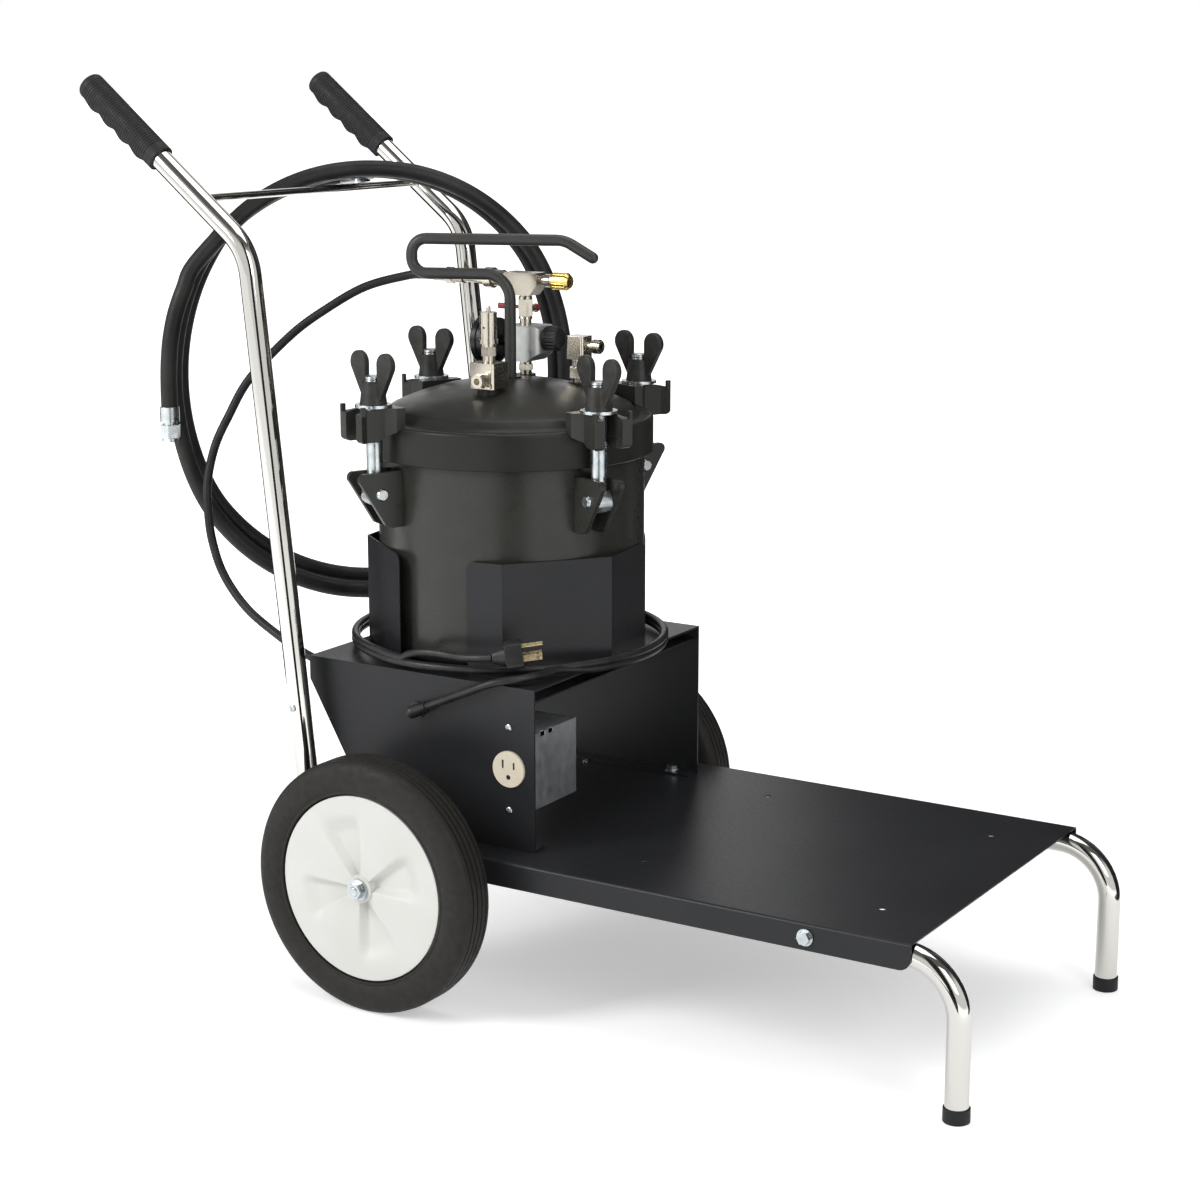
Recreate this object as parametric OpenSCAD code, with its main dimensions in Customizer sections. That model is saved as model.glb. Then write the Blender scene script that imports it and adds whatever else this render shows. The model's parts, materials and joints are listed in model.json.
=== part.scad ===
// Paint pressure pot on a two-wheeled hand cart. Two bent tubes carry a sheet-metal deck, a box
// riser and a clamped-lid tank with its air manifold, relief valve and fluid outlet.
// Millimetres. +X points from the handles to the front legs, +Y to the cart's left and +Z up.
// The origin is on the floor, mid-way along and across the cart without its hoses and cords.
// "Behind" in a name means behind the deck's front edge, and "high" means above the floor.

/* [Side tubes] */
// Outside diameter of the frame tubes
tube_d = 22.2; // [20:0.1:26]
// Wall of the frame tubes
tube_wall = 1.6; // [1:0.1:3]
// Distance between the two side tubes, centre to centre
tube_spacing = 368; // [340:1:420]
// How far the legs stand ahead of the deck's front edge
leg_ahead = 42.25; // [30:0.25:80]
// Bend radius where the rail turns down into the leg and up into the handle
rail_bend_r = 54; // [45:1:60]
// Where the handle's straight line would meet the rail, behind the deck's front edge
handle_behind = 667; // [660:1:720]
// Backward lean of the handle's lower stretch from the vertical
handle_lean = 6.2; // [0:0.1:9]
// Height of the handle's knee
knee_high = 728.8; // [700:1:780]
// Bend radius of the knee
knee_bend_r = 60; // [50:1:90]
// Rise of the handle's upper stretch above the horizontal
upper_rise = 38.4; // [30:0.1:50]
// Length of the handle's upper stretch, from the knee to the end of the grip
upper_len = 253.7; // [230:1:300]
// Diameter of the cross rod between the handles
cross_rod_d = 8; // [6:0.5:14]
// Distance of the cross rod along the upper stretch from the knee
cross_rod_along = 76; // [60:1:100]

/* [Grips and feet] */
// Length of a hand grip
grip_len = 117; // [100:1:130]
// Diameter of a hand grip
grip_d = 28; // [26.5:0.1:34]
// Thickness of the grip's closed end
grip_end_t = 4; // [2:0.5:8]
// Spacing of the finger swells under the grip
finger_pitch = 24; // [20:0.5:26]
// Outside diameter of a foot cap
foot_cap_d = 24.8; // [24.2:0.1:32]
// Height of a foot cap
foot_cap_h = 14; // [8:0.5:25]
// Thickness of a foot cap's floor
foot_cap_floor = 3; // [2:0.5:6]

/* [Deck] */
// Height of the deck's top face
deck_high = 159.3; // [150:0.1:175]
// Length of the deck
deck_len = 610; // [560:1:618]
// Sheet thickness of the deck
deck_sheet = 1.5; // [1:0.1:3]
// Depth of the deck's side skirts
skirt_h = 25.4; // [20:0.1:35]
// Outside bend radius between deck and skirt
deck_bend_r = 3; // [3:0.1:5]
// Corner radius at the lower ends of the skirts
skirt_corner_r = 12; // [4:0.5:18]
// Diameter of the four accessory holes
deck_hole_d = 7; // [5:0.1:10]
// First row of accessory holes, behind the deck's front edge
deck_hole_behind = 61.5; // [40:0.5:80]
// Spacing of the accessory holes along and across the deck
deck_hole_pitch = 250; // [200:1:280]
// First skirt bolt, behind the deck's front edge
front_bolt_behind = 102.8; // [70:0.1:200]
// Second skirt bolt, behind the deck's front edge
rear_bolt_behind = 480; // [300:1:500]

/* [Axle and wheels] */
// Wheel diameter
wheel_d = 254; // [200:1:260]
// Axle position behind the deck's front edge
axle_behind = 553; // [530:1:570]
// Tyre width
tyre_w = 47; // [38:0.5:50]
// Distance from the cart's middle to the middle of a wheel
wheel_out = 238.5; // [232:0.5:260]
// Outside diameter of the hub disc, where the tyre begins
hub_d = 182; // [150:1:190]
// Axle diameter
axle_d = 12.7; // [10:0.1:13]
// Diameter of the axle's threaded ends
axle_end_d = 9.5; // [8:0.1:9.8]
// Radial running clearance of the hub on the axle
axle_play = 0.05; // [0.02:0.01:0.1]
// Distance from the cart's middle to the outer face of an axle bracket
bracket_out = 168; // [150:1:169]
// Sheet thickness of the axle brackets
bracket_t = 4; // [3:0.5:6]

/* [Riser box] */
// Height of the riser box's top face
riser_high = 322; // [300:1:340]
// Width of the riser box
riser_w = 320; // [310:1:330]
// Sheet thickness of the riser box
riser_sheet = 2; // [1.5:0.1:3]
// Front face of the riser box, behind the deck's front edge
riser_front_behind = 415; // [400:1:420]
// Rear end of the riser box's top, behind the deck's front edge
riser_rear_behind = 686; // [686:1:700]
// Height of the straight part of the box's rear edge
riser_rear_h = 24; // [15:1:40]
// Rear end of the riser box's foot, behind the deck's front edge
riser_foot_behind = 606; // [580:1:609]
// Width of the box's inward bottom flanges
riser_flange = 18; // [14:1:20]

/* [Socket and cord exit] */
// Position of the socket behind the deck's front edge
socket_behind = 444; // [438:1:460]
// Height of the socket's centre
socket_high = 240; // [230:1:255]
// Diameter of the socket's face
socket_d = 36; // [30:1:40]
// Spacing of the socket's two screws
socket_screw_pitch = 83.3; // [82:0.1:90]
// Position of the cord's strain relief behind the deck's front edge
relief_behind = 552; // [540:1:580]
// Height of the cord's strain relief
relief_high = 284; // [275:1:300]

/* [Tank] */
// Tank axis behind the deck's front edge
tank_behind = 546; // [540:1:550]
// Outside radius of the tank
tank_r = 135.6; // [132:0.1:138]
// Wall of the tank
tank_wall = 3; // [2:0.1:5]
// Height of the tank's wall above the riser box
tank_h = 228; // [220:1:240]
// Outside radius of the tank's lower edge
tank_edge_r = 18; // [8:1:30]
// Thickness of the gasket under the lid
gasket_t = 3; // [2:0.1:5]
// Sheet thickness of the cradle
cradle_sheet = 1.6; // [1:0.1:3]
// Height of the cradle
cradle_h = 111; // [90:1:125]
// Gap between the tank and the cradle's flats
cradle_gap = 0.3; // [0.2:0.1:2]

/* [Lid] */
// How far the lid's band stands out round the tank
lid_overhang = 8.9; // [7.4:0.1:11.4]
// Height of the lid's band
band_h = 34; // [28:1:40]
// Thickness of the lid
lid_t = 3; // [2:0.1:4]
// Rise of the dome above the band
dome_h = 39; // [30:1:60]
// Diameter of the hook handle's rod
hook_d = 11.6; // [9:0.1:13]

/* [Clamps] */
// Distance from the tank's wall to the swing bolts
clamp_out = 22.9; // [20.9:0.1:26.4]
// Diameter of the swing bolts
bolt_d = 15.8; // [12:0.1:16]
// Diameter of the hinge pins
pin_d = 9.5; // [6:0.1:10]
// Running clearance round a hinge pin
pin_play = 0.05; // [0.02:0.01:0.1]
// Distance from the lid band's top down to the hinge pins
pin_drop = 64; // [60:1:68]
// Height of a yoke's top above the lid band
yoke_rise = 21.6; // [15:0.1:26]
// Height of a yoke
yoke_h = 33; // [25:1:38]
// Width of a yoke's slot
yoke_slot = 20; // [17.5:0.1:22]
// Outside width of a yoke
yoke_w = 31; // [28:0.5:36]
// How far a yoke's tips reach out past the swing bolts
yoke_reach = 25.5; // [19.5:0.5:31.5]
// Thickness of a lug plate
lug_t = 5; // [3:0.1:6]
// Gap between a clamp's two lug plates
lug_gap = 17; // [16.6:0.1:20]
// Diameter of a clamp washer
washer_d = 36.5; // [30:0.5:40]
// Thickness of a clamp washer
washer_t = 3; // [2:0.1:4]
// Height of a wing nut's hub
nut_hub_h = 22; // [16:1:26]
// Span of a wing nut over its ears
nut_span = 56; // [48:1:60]
// Height of a wing nut over its ears
nut_h = 51; // [44:1:56]
// Thickness of a wing nut's ears
ear_t = 5.5; // [4:0.1:8]

/* [Air manifold] */
// Manifold column behind the deck's front edge
column_behind = 554; // [550:1:556]
// Manifold column to the left of the cart's middle
column_left = 40; // [36:1:42]
// Diameter of the manifold's pipe nipples
nipple_d = 12; // [9:0.1:14]
// Height of the regulator's body
regulator_h = 36; // [30:1:40]
// Diameter of the regulator's knob
knob_d = 25; // [20:0.5:28]
// Diameter of the pressure gauge
gauge_d = 49; // [40:1:52]
// Distance across the flats of the ball valve
valve_af = 14; // [12:0.1:18]
// Length of the valve's lever from its pivot
lever_len = 46; // [36:1:50]
// Diameter of the brass cap
cap_d = 17.6; // [14:0.1:20]

/* [Hoses and cord] */
// Diameter of the fluid hose
fluid_hose_d = 17.5; // [14:0.1:18]
// Diameter of the air hose
air_hose_d = 9.5; // [8:0.1:10]
// Diameter of the power cord
cord_d = 8; // [6:0.1:9]

/* [Hidden] */
$fn = 64;

black_sheet = "#26272b";
black_paint = "#34342f";
zinc = "#b9c0c2";
chrome = "#d4d7d8";
nickel = "#b3a890";
black_rubber = "#1d1d1e";

// Clearances between neighbours
seat_gap = 0.2;          // between a curved face and what it rests on
cut = 1;                 // how far a cutting body runs past the face it cuts
hole_play = 0.3;         // radial clearance of a screw or bolt in its hole
bend_lap = 0.5;          // how far a straight runs into its bend
bend_thinning = 0.2;     // how much thinner a bend is than its straights

// Frame
rail_z = deck_high - deck_sheet - seat_gap - tube_d / 2;
tube_y = tube_spacing / 2;
tube_end_len = upper_len - grip_end_t;
grip_corner_r = 5;
upper_angle = 180 - upper_rise;
handle_foot_len = knee_high - rail_z;
knee_behind = handle_behind + handle_foot_len * tan(handle_lean);
end_reach = upper_len - grip_corner_r;
rear_reach = knee_behind + end_reach * cos(upper_rise)
    + (grip_d / 2 - grip_corner_r) * sin(upper_rise) + grip_corner_r;
front_reach = leg_ahead + foot_cap_d / 2;
deck_front_x = (rear_reach - front_reach) / 2;
function behind(d) = deck_front_x - d;

leg_x = behind(-leg_ahead);
handle_foot = [behind(handle_behind), rail_z];
knee = [behind(knee_behind), knee_high];
upper_dir = [cos(upper_angle), sin(upper_angle)];
tube_points = [
    [leg_x, foot_cap_floor + seat_gap], [leg_x, rail_z], handle_foot, knee,
    knee + tube_end_len * upper_dir
];
tube_bends = [rail_bend_r, rail_bend_r, knee_bend_r];
cross_rod_at = knee + cross_rod_along * upper_dir;
tube_screw_high = 275;
tube_screw_x = handle_foot[0] - (tube_screw_high - rail_z) * tan(handle_lean);

// Deck
deck_w = tube_spacing + tube_d + 2 * seat_gap + 2 * deck_sheet;
skirt_bolt_d = 6.35;
bolt_head_af = 11.1;
bolt_head_h = 4.4;
bolt_washer_d = 16;
bolt_washer_t = 1.5;

// Axle and wheels
axle_x = behind(axle_behind);
axle_z = wheel_d / 2;
hub_face_out = wheel_out + 20;
hub_tube_out = hub_face_out + 2;
hub_tube_in = wheel_out - 24;
axle_shoulder = hub_tube_out + 0.4;
axle_washer_t = 2;
axle_nut_t = 6;
axle_tip = axle_shoulder + axle_washer_t + axle_nut_t + 1;
spacer_d = 15.6;
bracket_w = 46;
bracket_drop = 18;
bracket_flange = 40;
bracket_bolt_y = bracket_out - bracket_flange + 6;

// Riser box
riser_front = behind(riser_front_behind);
riser_rear = behind(riser_rear_behind);
riser_foot = behind(riser_foot_behind);
riser_side = riser_w / 2;
riser_inner = riser_side - riser_sheet;
flange_bolt_y = riser_inner - riser_flange / 2;
flange_bolt_x = [behind(441), behind(585)];

// Socket
socket_x = behind(socket_behind);
strap_t = 1.5;
strap_len = 104;
strap_w = 24;
panel_hole_d = socket_d + 1;
screw_d = 3.5;
screw_head_d = 7;
screw_head_h = 2.2;
device_w = 51;
device_h = 76;
device_depth = 74;
device_wall = 1.6;

// Tank and lid
tank_x = behind(tank_behind);
tank_top = riser_high + tank_h;
lid_r = tank_r + lid_overhang;
dome_rim_z = tank_top + gasket_t + lid_t + 1;
dome_apex_z = dome_rim_z + dome_h;
dome_r = (lid_r * lid_r + dome_h * dome_h) / (2 * dome_h);
dome_centre_z = dome_apex_z - dome_r;
function dome_z(r) = dome_centre_z + sqrt(dome_r * dome_r - r * r);
cradle_in = tank_r + cradle_gap;
cradle_out = cradle_in + cradle_sheet;
octagon = 1 / cos(22.5);

// Clamps
clamp_r = tank_r + clamp_out;
yoke_tip_r = clamp_r + yoke_reach;
clamp_angles = [-24, 66, 156, 246];
nut_angles = [-20, -12, -5, -8];
pin_z = dome_rim_z - pin_drop;
yoke_top = dome_rim_z + yoke_rise;
yoke_high = yoke_top - pin_z;
yoke_root_w = 48;
washer_r = washer_d / 2;
nut_base = yoke_top + washer_t;
bolt_top = nut_base + nut_hub_h + 6;
eye_d = 25;
eye_w = lug_gap - 1;
pin_head_d = 13;
pin_head_t = 3;
lug_top = pin_z + 22;
lug_bottom = pin_z - 34;
lug_reach = yoke_tip_r - 1;
lug_corner_r = 6;
nut_bottom_d = 27;
nut_top_d = 21.5;
ear_r = 11;

// Air manifold
column_x = behind(column_behind);
column_at = [column_x, column_left];
column_off = norm([column_x - tank_x, column_left]);
column_base = dome_z(column_off) + 2;
regulator_z = 609;
regulator_top = regulator_z + regulator_h;
valve_z = regulator_top + 6;
valve_h = 23;
tee_z = valve_z + valve_h + 1.5;
tee_h = 23;
arm_z = tee_z + tee_h - 7.5;
knob_z = regulator_z + 24;
gauge_z = regulator_z + 18.5;
gauge_face_x = column_x - 53;
gauge_t = 26;
regulator_back_x = column_x - 18;
regulator_front_x = column_x + 25;
knob_len = 15;
stem_out = 18;
lever_z = valve_z + valve_h / 2 - 2;
tee_half = 20;
cap_len = 20;
coupler_len = 112;
relief_at = [behind(531.6), -60];
relief_w = 28.5;
relief_corner_r = 0.66 * relief_w;
relief_base = dome_z(norm([relief_at[0] - tank_x, relief_at[1]]) - relief_corner_r) + 0.5;
relief_block_h = 25.2;
relief_body_z = relief_base + relief_block_h + 18.5;
elbow_at = [behind(492.3), 45];
elbow_base = dome_z(norm([elbow_at[0] - tank_x, elbow_at[1]])) + 3;
elbow_z = 613.5;
elbow_h = 23.5;
outlet_z = elbow_z + 13.5;
hook_turn = 21;
hook_low_z = 699.4;
hook_gap = 34.6;
hook_back = 84;
hook_level = 56;
hook_fore = 84.5;
hook_drop = 17;

// Routes of the hoses and the cord, as points from front to back of the deck and up
ring_clear = 0.3;
coil_in_r = 195;
coil_in_straight = 34;
coil_in_drop = 2;
coil_out_r = 222;
coil_out_straight = 39;
coil_out_drop = 10.6;
coil_wide = 35;
coil_turn = 43.7;
coil_at = [behind(770.4), 65.2];
rod_leaves_at = 45.2;    // the rod leaves the coil this far from the coil's middle
coil_z = cross_rod_at[1] + cross_rod_d / 2 + ring_clear - coil_in_straight / 2 + coil_in_drop
    - sqrt(coil_in_r * coil_in_r - rod_leaves_at * rod_leaves_at);
power_ring_right = 5;
power_ring_in = cradle_out * octagon + power_ring_right + 0.6;
power_ring_w = cord_d + 1.6;
power_ring_h = 2 * cord_d + 3;
power_ring_z = riser_high + ring_clear;
air_route = [
    [-666, 40, 690], [-684, 40, 690], [-702, 38, 688], [-742, 20, 676], [-778, 0, 653],
    [-810, -22, 625], [-838, -58, 581], [-854, -76, 541], [-863, -88, 511], [-866, -98, 476],
    [-862, -104, 446], [-854, -108, 413], [-836, -112, 379], [-803, -116, 348],
    [-760, -120, 326], [-726, -126, 315], [-700, -130, 309], [-680, -130, 306], [-662, -130, 306]
];
cord_route = [
    [-534, -170, 292], [-518, -170.5, 299], [-500, -171, 307], [-482, -171, 315],
    [-464, -169, 323], [-447, -163, 328], [-434, -152, 330], [-427, -139, 331], [-424, -124, 331],
    [-421, -108, 331]
];
plug_route = [
    [-462, -161.5, 349], [-476, -165, 347.5], [-492, -165.5, 346], [-510, -164, 345.5],
    [-528, -163.5, 345.5], [-546, -164, 344], [-560, -163, 340], [-572, -161.5, 335]
];
back_end_route = [
    [-157, -12, 725], [-140, -16, 742], [-121, -20, 757], [-103, -24, 767.5], [-84, -27, 775],
    [-66, -28.5, 780.5], [-47, -29, 784.6], [-28, -29, 787.3]
];
tail_route = [
    [-186, 24, 700], [-198, 27, 676], [-208, 29, 650], [-214, 30, 624], [-217, 30, 598],
    [-218, 30, 574], [-218, 30, 552]
];

// ---------------------------------------------------------------------------------------------
// Shared shapes

// Polar angle of the way from a to b
function heading(a, b) = atan2(b[1] - a[1], b[0] - a[0]);
// Signed turn from heading a to heading b, between -180 and 180
function turn_of(a, b) = ((b - a + 540) % 360) - 180;
// How far a bend's ends lie from its corner
function setback(points, bends, i) =
    (i == 0 || i == len(points) - 1) ? 0
    : bends[i - 1] * tan(abs(turn_of(heading(points[i - 1], points[i]),
                                     heading(points[i], points[i + 1]))) / 2);

// A round bar that follows points in the XZ plane and rounds each corner with its bend radius.
// The bends are a hair thinner than the straights, whose ends close over them.
module bent_bar(points, bends, d) {
    last = len(points) - 1;
    rotate([90, 0, 0]) for (i = [0 : last - 1]) {
        way = heading(points[i], points[i + 1]);
        step = [cos(way), sin(way)];
        from = points[i] + (setback(points, bends, i) - (i > 0 ? bend_lap : 0)) * step;
        to = points[i + 1] - setback(points, bends, i + 1) * step;
        run = norm(to - from) + (i < last - 1 ? bend_lap : 0);
        translate([from[0], from[1], 0]) rotate([0, 90, way]) cylinder(d = d, h = run);
        if (i < last - 1) {
            next = heading(points[i + 1], points[i + 2]);
            swing = turn_of(way, next);
            side = sign(swing);
            centre = to + side * bends[i] * [-sin(way), cos(way)];
            start = side > 0 ? way - 90 : next + 90;
            translate([centre[0], centre[1], 0]) rotate([0, 0, start])
                rotate_extrude(angle = abs(swing)) translate([bends[i], 0])
                    circle(d = d - bend_thinning);
        }
    }
}

// A point moved along the way from a to b
function ahead(a, b, d) = a + d * (b - a) / norm(b - a);

// A hexagonal prism across flats
module hex(af, h) {
    cylinder(d = af / cos(30), h = h, $fn = 6);
}

// A rectangle with round corners
module round_rect(w, h, r) {
    square([w - 2 * r, h], center = true);
    square([w, h - 2 * r], center = true);
    for (x = [-1, 1], y = [-1, 1]) translate([x * (w / 2 - r), y * (h / 2 - r)]) circle(r = r);
}

// A point on the smooth curve through a route, t of the way from point i to the next
function on_curve(p, i, t) =
    let (last = len(p) - 1, a = p[max(i - 1, 0)], b = p[i], c = p[i + 1], d = p[min(i + 2, last)])
    0.5 * (2 * b + (c - a) * t + (2 * a - 5 * b + 4 * c - d) * t * t
        + (3 * b - a - 3 * c + d) * t * t * t);
function smooth(p, n) = [
    for (i = [0 : len(p) - 2]) for (k = [0 : n - 1]) on_curve(p, i, k / n), p[len(p) - 1]
];
function unit(v) = v / norm(v);

// A plain tube swept along a route, with its cross-sections square to the route
module swept_tube(route, d, n, sides, up) {
    line = smooth(route, n);
    last = len(line) - 1;
    rings = [for (i = [0 : last])
        let (t = unit(line[min(i + 1, last)] - line[max(i - 1, 0)]),
             u = unit(cross(t, up)), v = cross(u, t))
        for (k = [0 : sides - 1])
            line[i] + d / 2 * (cos(360 * k / sides) * u + sin(360 * k / sides) * v)];
    sheath = [for (i = [0 : last - 1]) for (k = [0 : sides - 1])
        let (a = i * sides + k, b = i * sides + (k + 1) % sides)
        [a, b, b + sides, a + sides]];
    polyhedron(points = rings, faces = concat(
        [[for (k = [sides - 1 : -1 : 0]) k]], sheath, [[for (k = [0 : sides - 1]) last * sides + k]]));
}

function placed(route) = [for (p = route) [deck_front_x + p[0], p[1], p[2]]];

// ---------------------------------------------------------------------------------------------
// Frame

module frame_tube(side) {
    n = len(tube_points) - 1;
    bore = [
        ahead(tube_points[0], tube_points[1], -cut), tube_points[1], tube_points[2],
        tube_points[3], ahead(tube_points[n], tube_points[n - 1], -cut)
    ];
    color(chrome) translate([0, side * tube_y, 0]) difference() {
        bent_bar(tube_points, tube_bends, tube_d);
        bent_bar(bore, tube_bends, tube_d - 2 * tube_wall);
        for (d = [front_bolt_behind, rear_bolt_behind])
            translate([behind(d), 0, rail_z]) rotate([-side * 90, 0, 0])
                cylinder(d = skirt_bolt_d + 2 * hole_play, h = tube_d);
        translate([tube_screw_x, 0, tube_screw_high]) rotate([-side * 90, 0, 0])
            cylinder(d = screw_d + 2 * hole_play, h = tube_d);
    }
}

module frame_tube_right() { frame_tube(-1); }
module frame_tube_left() { frame_tube(1); }

// Moulded grip with rings round it and finger swells below, closed at its outer end
module grip() {
    rings = 22;
    collar = 9;
    pitch = (grip_len - 2 * collar) / rings;
    ring_deep = 0.5;
    swell_r = 13;
    swell_drop = grip_d / 2 + 3.5 - swell_r;
    difference() {
        union() {
            rotate_extrude() {
                square([grip_d / 2, grip_len - grip_corner_r]);
                square([grip_d / 2 - grip_corner_r, grip_len]);
                translate([grip_d / 2 - grip_corner_r, grip_len - grip_corner_r])
                    circle(r = grip_corner_r);
            }
            for (i = [0 : 3])
                translate([swell_drop, 0, collar + finger_pitch / 2 + 3 + i * finger_pitch])
                    sphere(r = swell_r);
        }
        for (i = [0 : rings]) translate([0, 0, collar + i * pitch]) rotate_extrude()
            translate([grip_d / 2 - ring_deep, -pitch / 4]) square([2 * ring_deep, pitch / 2]);
        translate([0, 0, -cut])
            cylinder(d = tube_d + 2 * seat_gap, h = grip_len - grip_end_t + seat_gap + cut);
    }
}

module grips() {
    start = knee + (upper_len - grip_len) * upper_dir;
    for (side = [-1, 1]) color(black_rubber)
        translate([start[0], side * tube_y, start[1]]) rotate([0, 90 - upper_angle, 0]) grip();
}

module foot_caps() {
    for (side = [-1, 1]) color("#2b2b2b") translate([leg_x, side * tube_y, 0]) difference() {
        rotate_extrude() {
            square([foot_cap_d / 2 - 1, foot_cap_h]);
            translate([0, 1]) square([foot_cap_d / 2, foot_cap_h - 2]);
            translate([foot_cap_d / 2 - 1, 1]) circle(r = 1);
            translate([foot_cap_d / 2 - 1, foot_cap_h - 1]) circle(r = 1);
        }
        translate([0, 0, foot_cap_floor]) cylinder(d = tube_d + 2 * seat_gap, h = foot_cap_h);
    }
}

module cross_rod() {
    color(chrome) difference() {
        translate([cross_rod_at[0], 0, cross_rod_at[1]]) rotate([90, 0, 0])
            cylinder(d = cross_rod_d, h = tube_spacing, center = true);
        for (side = [-1, 1]) translate([knee[0], side * tube_y, knee[1]])
            rotate([0, 90 - upper_angle, 0]) cylinder(d = tube_d, h = upper_len);
    }
}

// ---------------------------------------------------------------------------------------------
// Deck

// Section of the deck across the cart: a flat top with a skirt bent down at each side
module deck_section(w, r, h) {
    translate([-w / 2 + r, -h]) square([w - 2 * r, h]);
    translate([-w / 2, -h]) square([w, h - r]);
    for (side = [-1, 1]) translate([side * (w / 2 - r), -r]) circle(r = r);
}

module deck_tray() {
    color(black_sheet) difference() {
        translate([behind(deck_len), 0, deck_high]) rotate([90, 0, 90])
            linear_extrude(deck_len) difference() {
                deck_section(deck_w, deck_bend_r, skirt_h);
                translate([0, -deck_sheet]) deck_section(
                    deck_w - 2 * deck_sheet, deck_bend_r - deck_sheet, skirt_h);
            }
        for (end = [0, 1]) translate([behind(end * deck_len), 0, deck_high - skirt_h])
            mirror([end, 0, 0]) rotate([90, 0, 0])
                linear_extrude(deck_w + 2 * cut, center = true) difference() {
                    translate([-skirt_corner_r, -cut]) square(skirt_corner_r + cut);
                    translate([-skirt_corner_r, skirt_corner_r]) circle(r = skirt_corner_r);
                    translate([-skirt_corner_r, skirt_corner_r])
                        square(skirt_corner_r + 2 * cut);
                }
        for (i = [0, 1], side = [-1, 1])
            translate([behind(deck_hole_behind + i * deck_hole_pitch), side * deck_hole_pitch / 2,
                       deck_high - deck_sheet - cut])
                cylinder(d = deck_hole_d, h = deck_sheet + 2 * cut);
        for (d = [front_bolt_behind, rear_bolt_behind]) translate([behind(d), 0, rail_z])
            rotate([90, 0, 0])
                cylinder(d = skirt_bolt_d + 2 * hole_play, h = deck_w + 2 * cut, center = true);
        translate([axle_x, 0, axle_z]) rotate([90, 0, 0])
            cylinder(d = spacer_d + 3, h = deck_w + 2 * cut, center = true);
        for (x = flange_bolt_x, side = [-1, 1])
            translate([x, side * flange_bolt_y, deck_high - deck_sheet - cut])
                cylinder(d = skirt_bolt_d + 2 * hole_play, h = deck_sheet + 2 * cut);
        for (side = [-1, 1], x = [-1, 1])
            translate([axle_x + x * bracket_w / 4, side * bracket_bolt_y,
                       deck_high - deck_sheet - cut])
                cylinder(d = screw_d + 2 * hole_play, h = deck_sheet + 2 * cut);
    }
}

// Hexagon bolt with a washer under its head; the shank runs down from the seat at z = 0
module hex_bolt(shank_len) {
    cylinder(d = bolt_washer_d, h = bolt_washer_t);
    translate([0, 0, bolt_washer_t]) intersection() {
        hex(bolt_head_af, bolt_head_h);
        cylinder(d1 = 2 * bolt_head_af, d2 = bolt_head_af, h = 2 * bolt_head_h - 0.5);
    }
    translate([0, 0, -shank_len]) cylinder(d = skirt_bolt_d, h = shank_len);
}

// Round-headed screw with a cross recess
module pan_screw(shank_len) {
    difference() {
        intersection() {
            cylinder(d = screw_head_d, h = screw_head_h);
            translate([0, 0, screw_head_h - screw_head_d]) sphere(r = screw_head_d);
        }
        for (a = [0, 90]) rotate([0, 0, a]) translate([-screw_head_d / 4, -0.4, 1])
            cube([screw_head_d / 2, 0.8, screw_head_h]);
    }
    translate([0, 0, -shank_len]) cylinder(d = screw_d, h = shank_len);
}

module fasteners() {
    shank_through = riser_sheet + deck_sheet + 7;
    color(zinc) {
        for (side = [-1, 1]) {
            for (d = [front_bolt_behind, rear_bolt_behind])
                translate([behind(d), side * deck_w / 2, rail_z]) rotate([-side * 90, 0, 0])
                    hex_bolt(deck_sheet + tube_wall + 6);
            translate([tube_screw_x, side * (tube_y + tube_d / 2 + seat_gap), tube_screw_high])
                rotate([-side * 90, 0, 0]) pan_screw(tube_wall + 5);
            for (x = flange_bolt_x)
                translate([x, side * flange_bolt_y, deck_high + riser_sheet]) {
                    hex_bolt(shank_through);
                    translate([0, 0, -riser_sheet - deck_sheet - 5]) hex(bolt_head_af, 5);
                }
            for (x = [-1, 1])
                translate([axle_x + x * bracket_w / 4, side * bracket_bolt_y, deck_high])
                    pan_screw(deck_sheet + bracket_t + 3);
            translate([axle_x, side * axle_shoulder, axle_z]) rotate([-side * 90, 0, 0])
                difference() {
                    union() {
                        cylinder(d = 22, h = axle_washer_t);
                        translate([0, 0, axle_washer_t]) intersection() {
                            hex(14.3, axle_nut_t);
                            cylinder(d1 = 28, d2 = 14.6, h = axle_nut_t + 0.4);
                        }
                    }
                    translate([0, 0, -cut])
                        cylinder(d = axle_end_d + 2 * axle_play, h = axle_tip - axle_shoulder + 2 * cut);
                }
        }
        for (z = [-1, 1])
            translate([socket_x, -riser_side, socket_high + z * socket_screw_pitch / 2])
                rotate([90, 0, 0]) pan_screw(riser_sheet + strap_t + 4);
    }
}

// ---------------------------------------------------------------------------------------------
// Axle and wheels

module axle() {
    half_main = bracket_out;
    color(zinc) translate([axle_x, 0, axle_z]) rotate([90, 0, 0]) {
        cylinder(d = axle_d, h = 2 * axle_shoulder, center = true);
        for (side = [0, 1]) mirror([0, 0, side]) {
            translate([0, 0, half_main + seat_gap])
                cylinder(d = spacer_d, h = hub_tube_in - 0.4 - half_main - seat_gap);
            translate([0, 0, axle_shoulder])
                cylinder(d = axle_end_d, h = axle_tip - axle_shoulder - 0.6);
            translate([0, 0, axle_tip - 0.6])
                cylinder(d1 = axle_end_d, d2 = axle_end_d - 1.2, h = 0.6);
        }
    }
}

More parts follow.
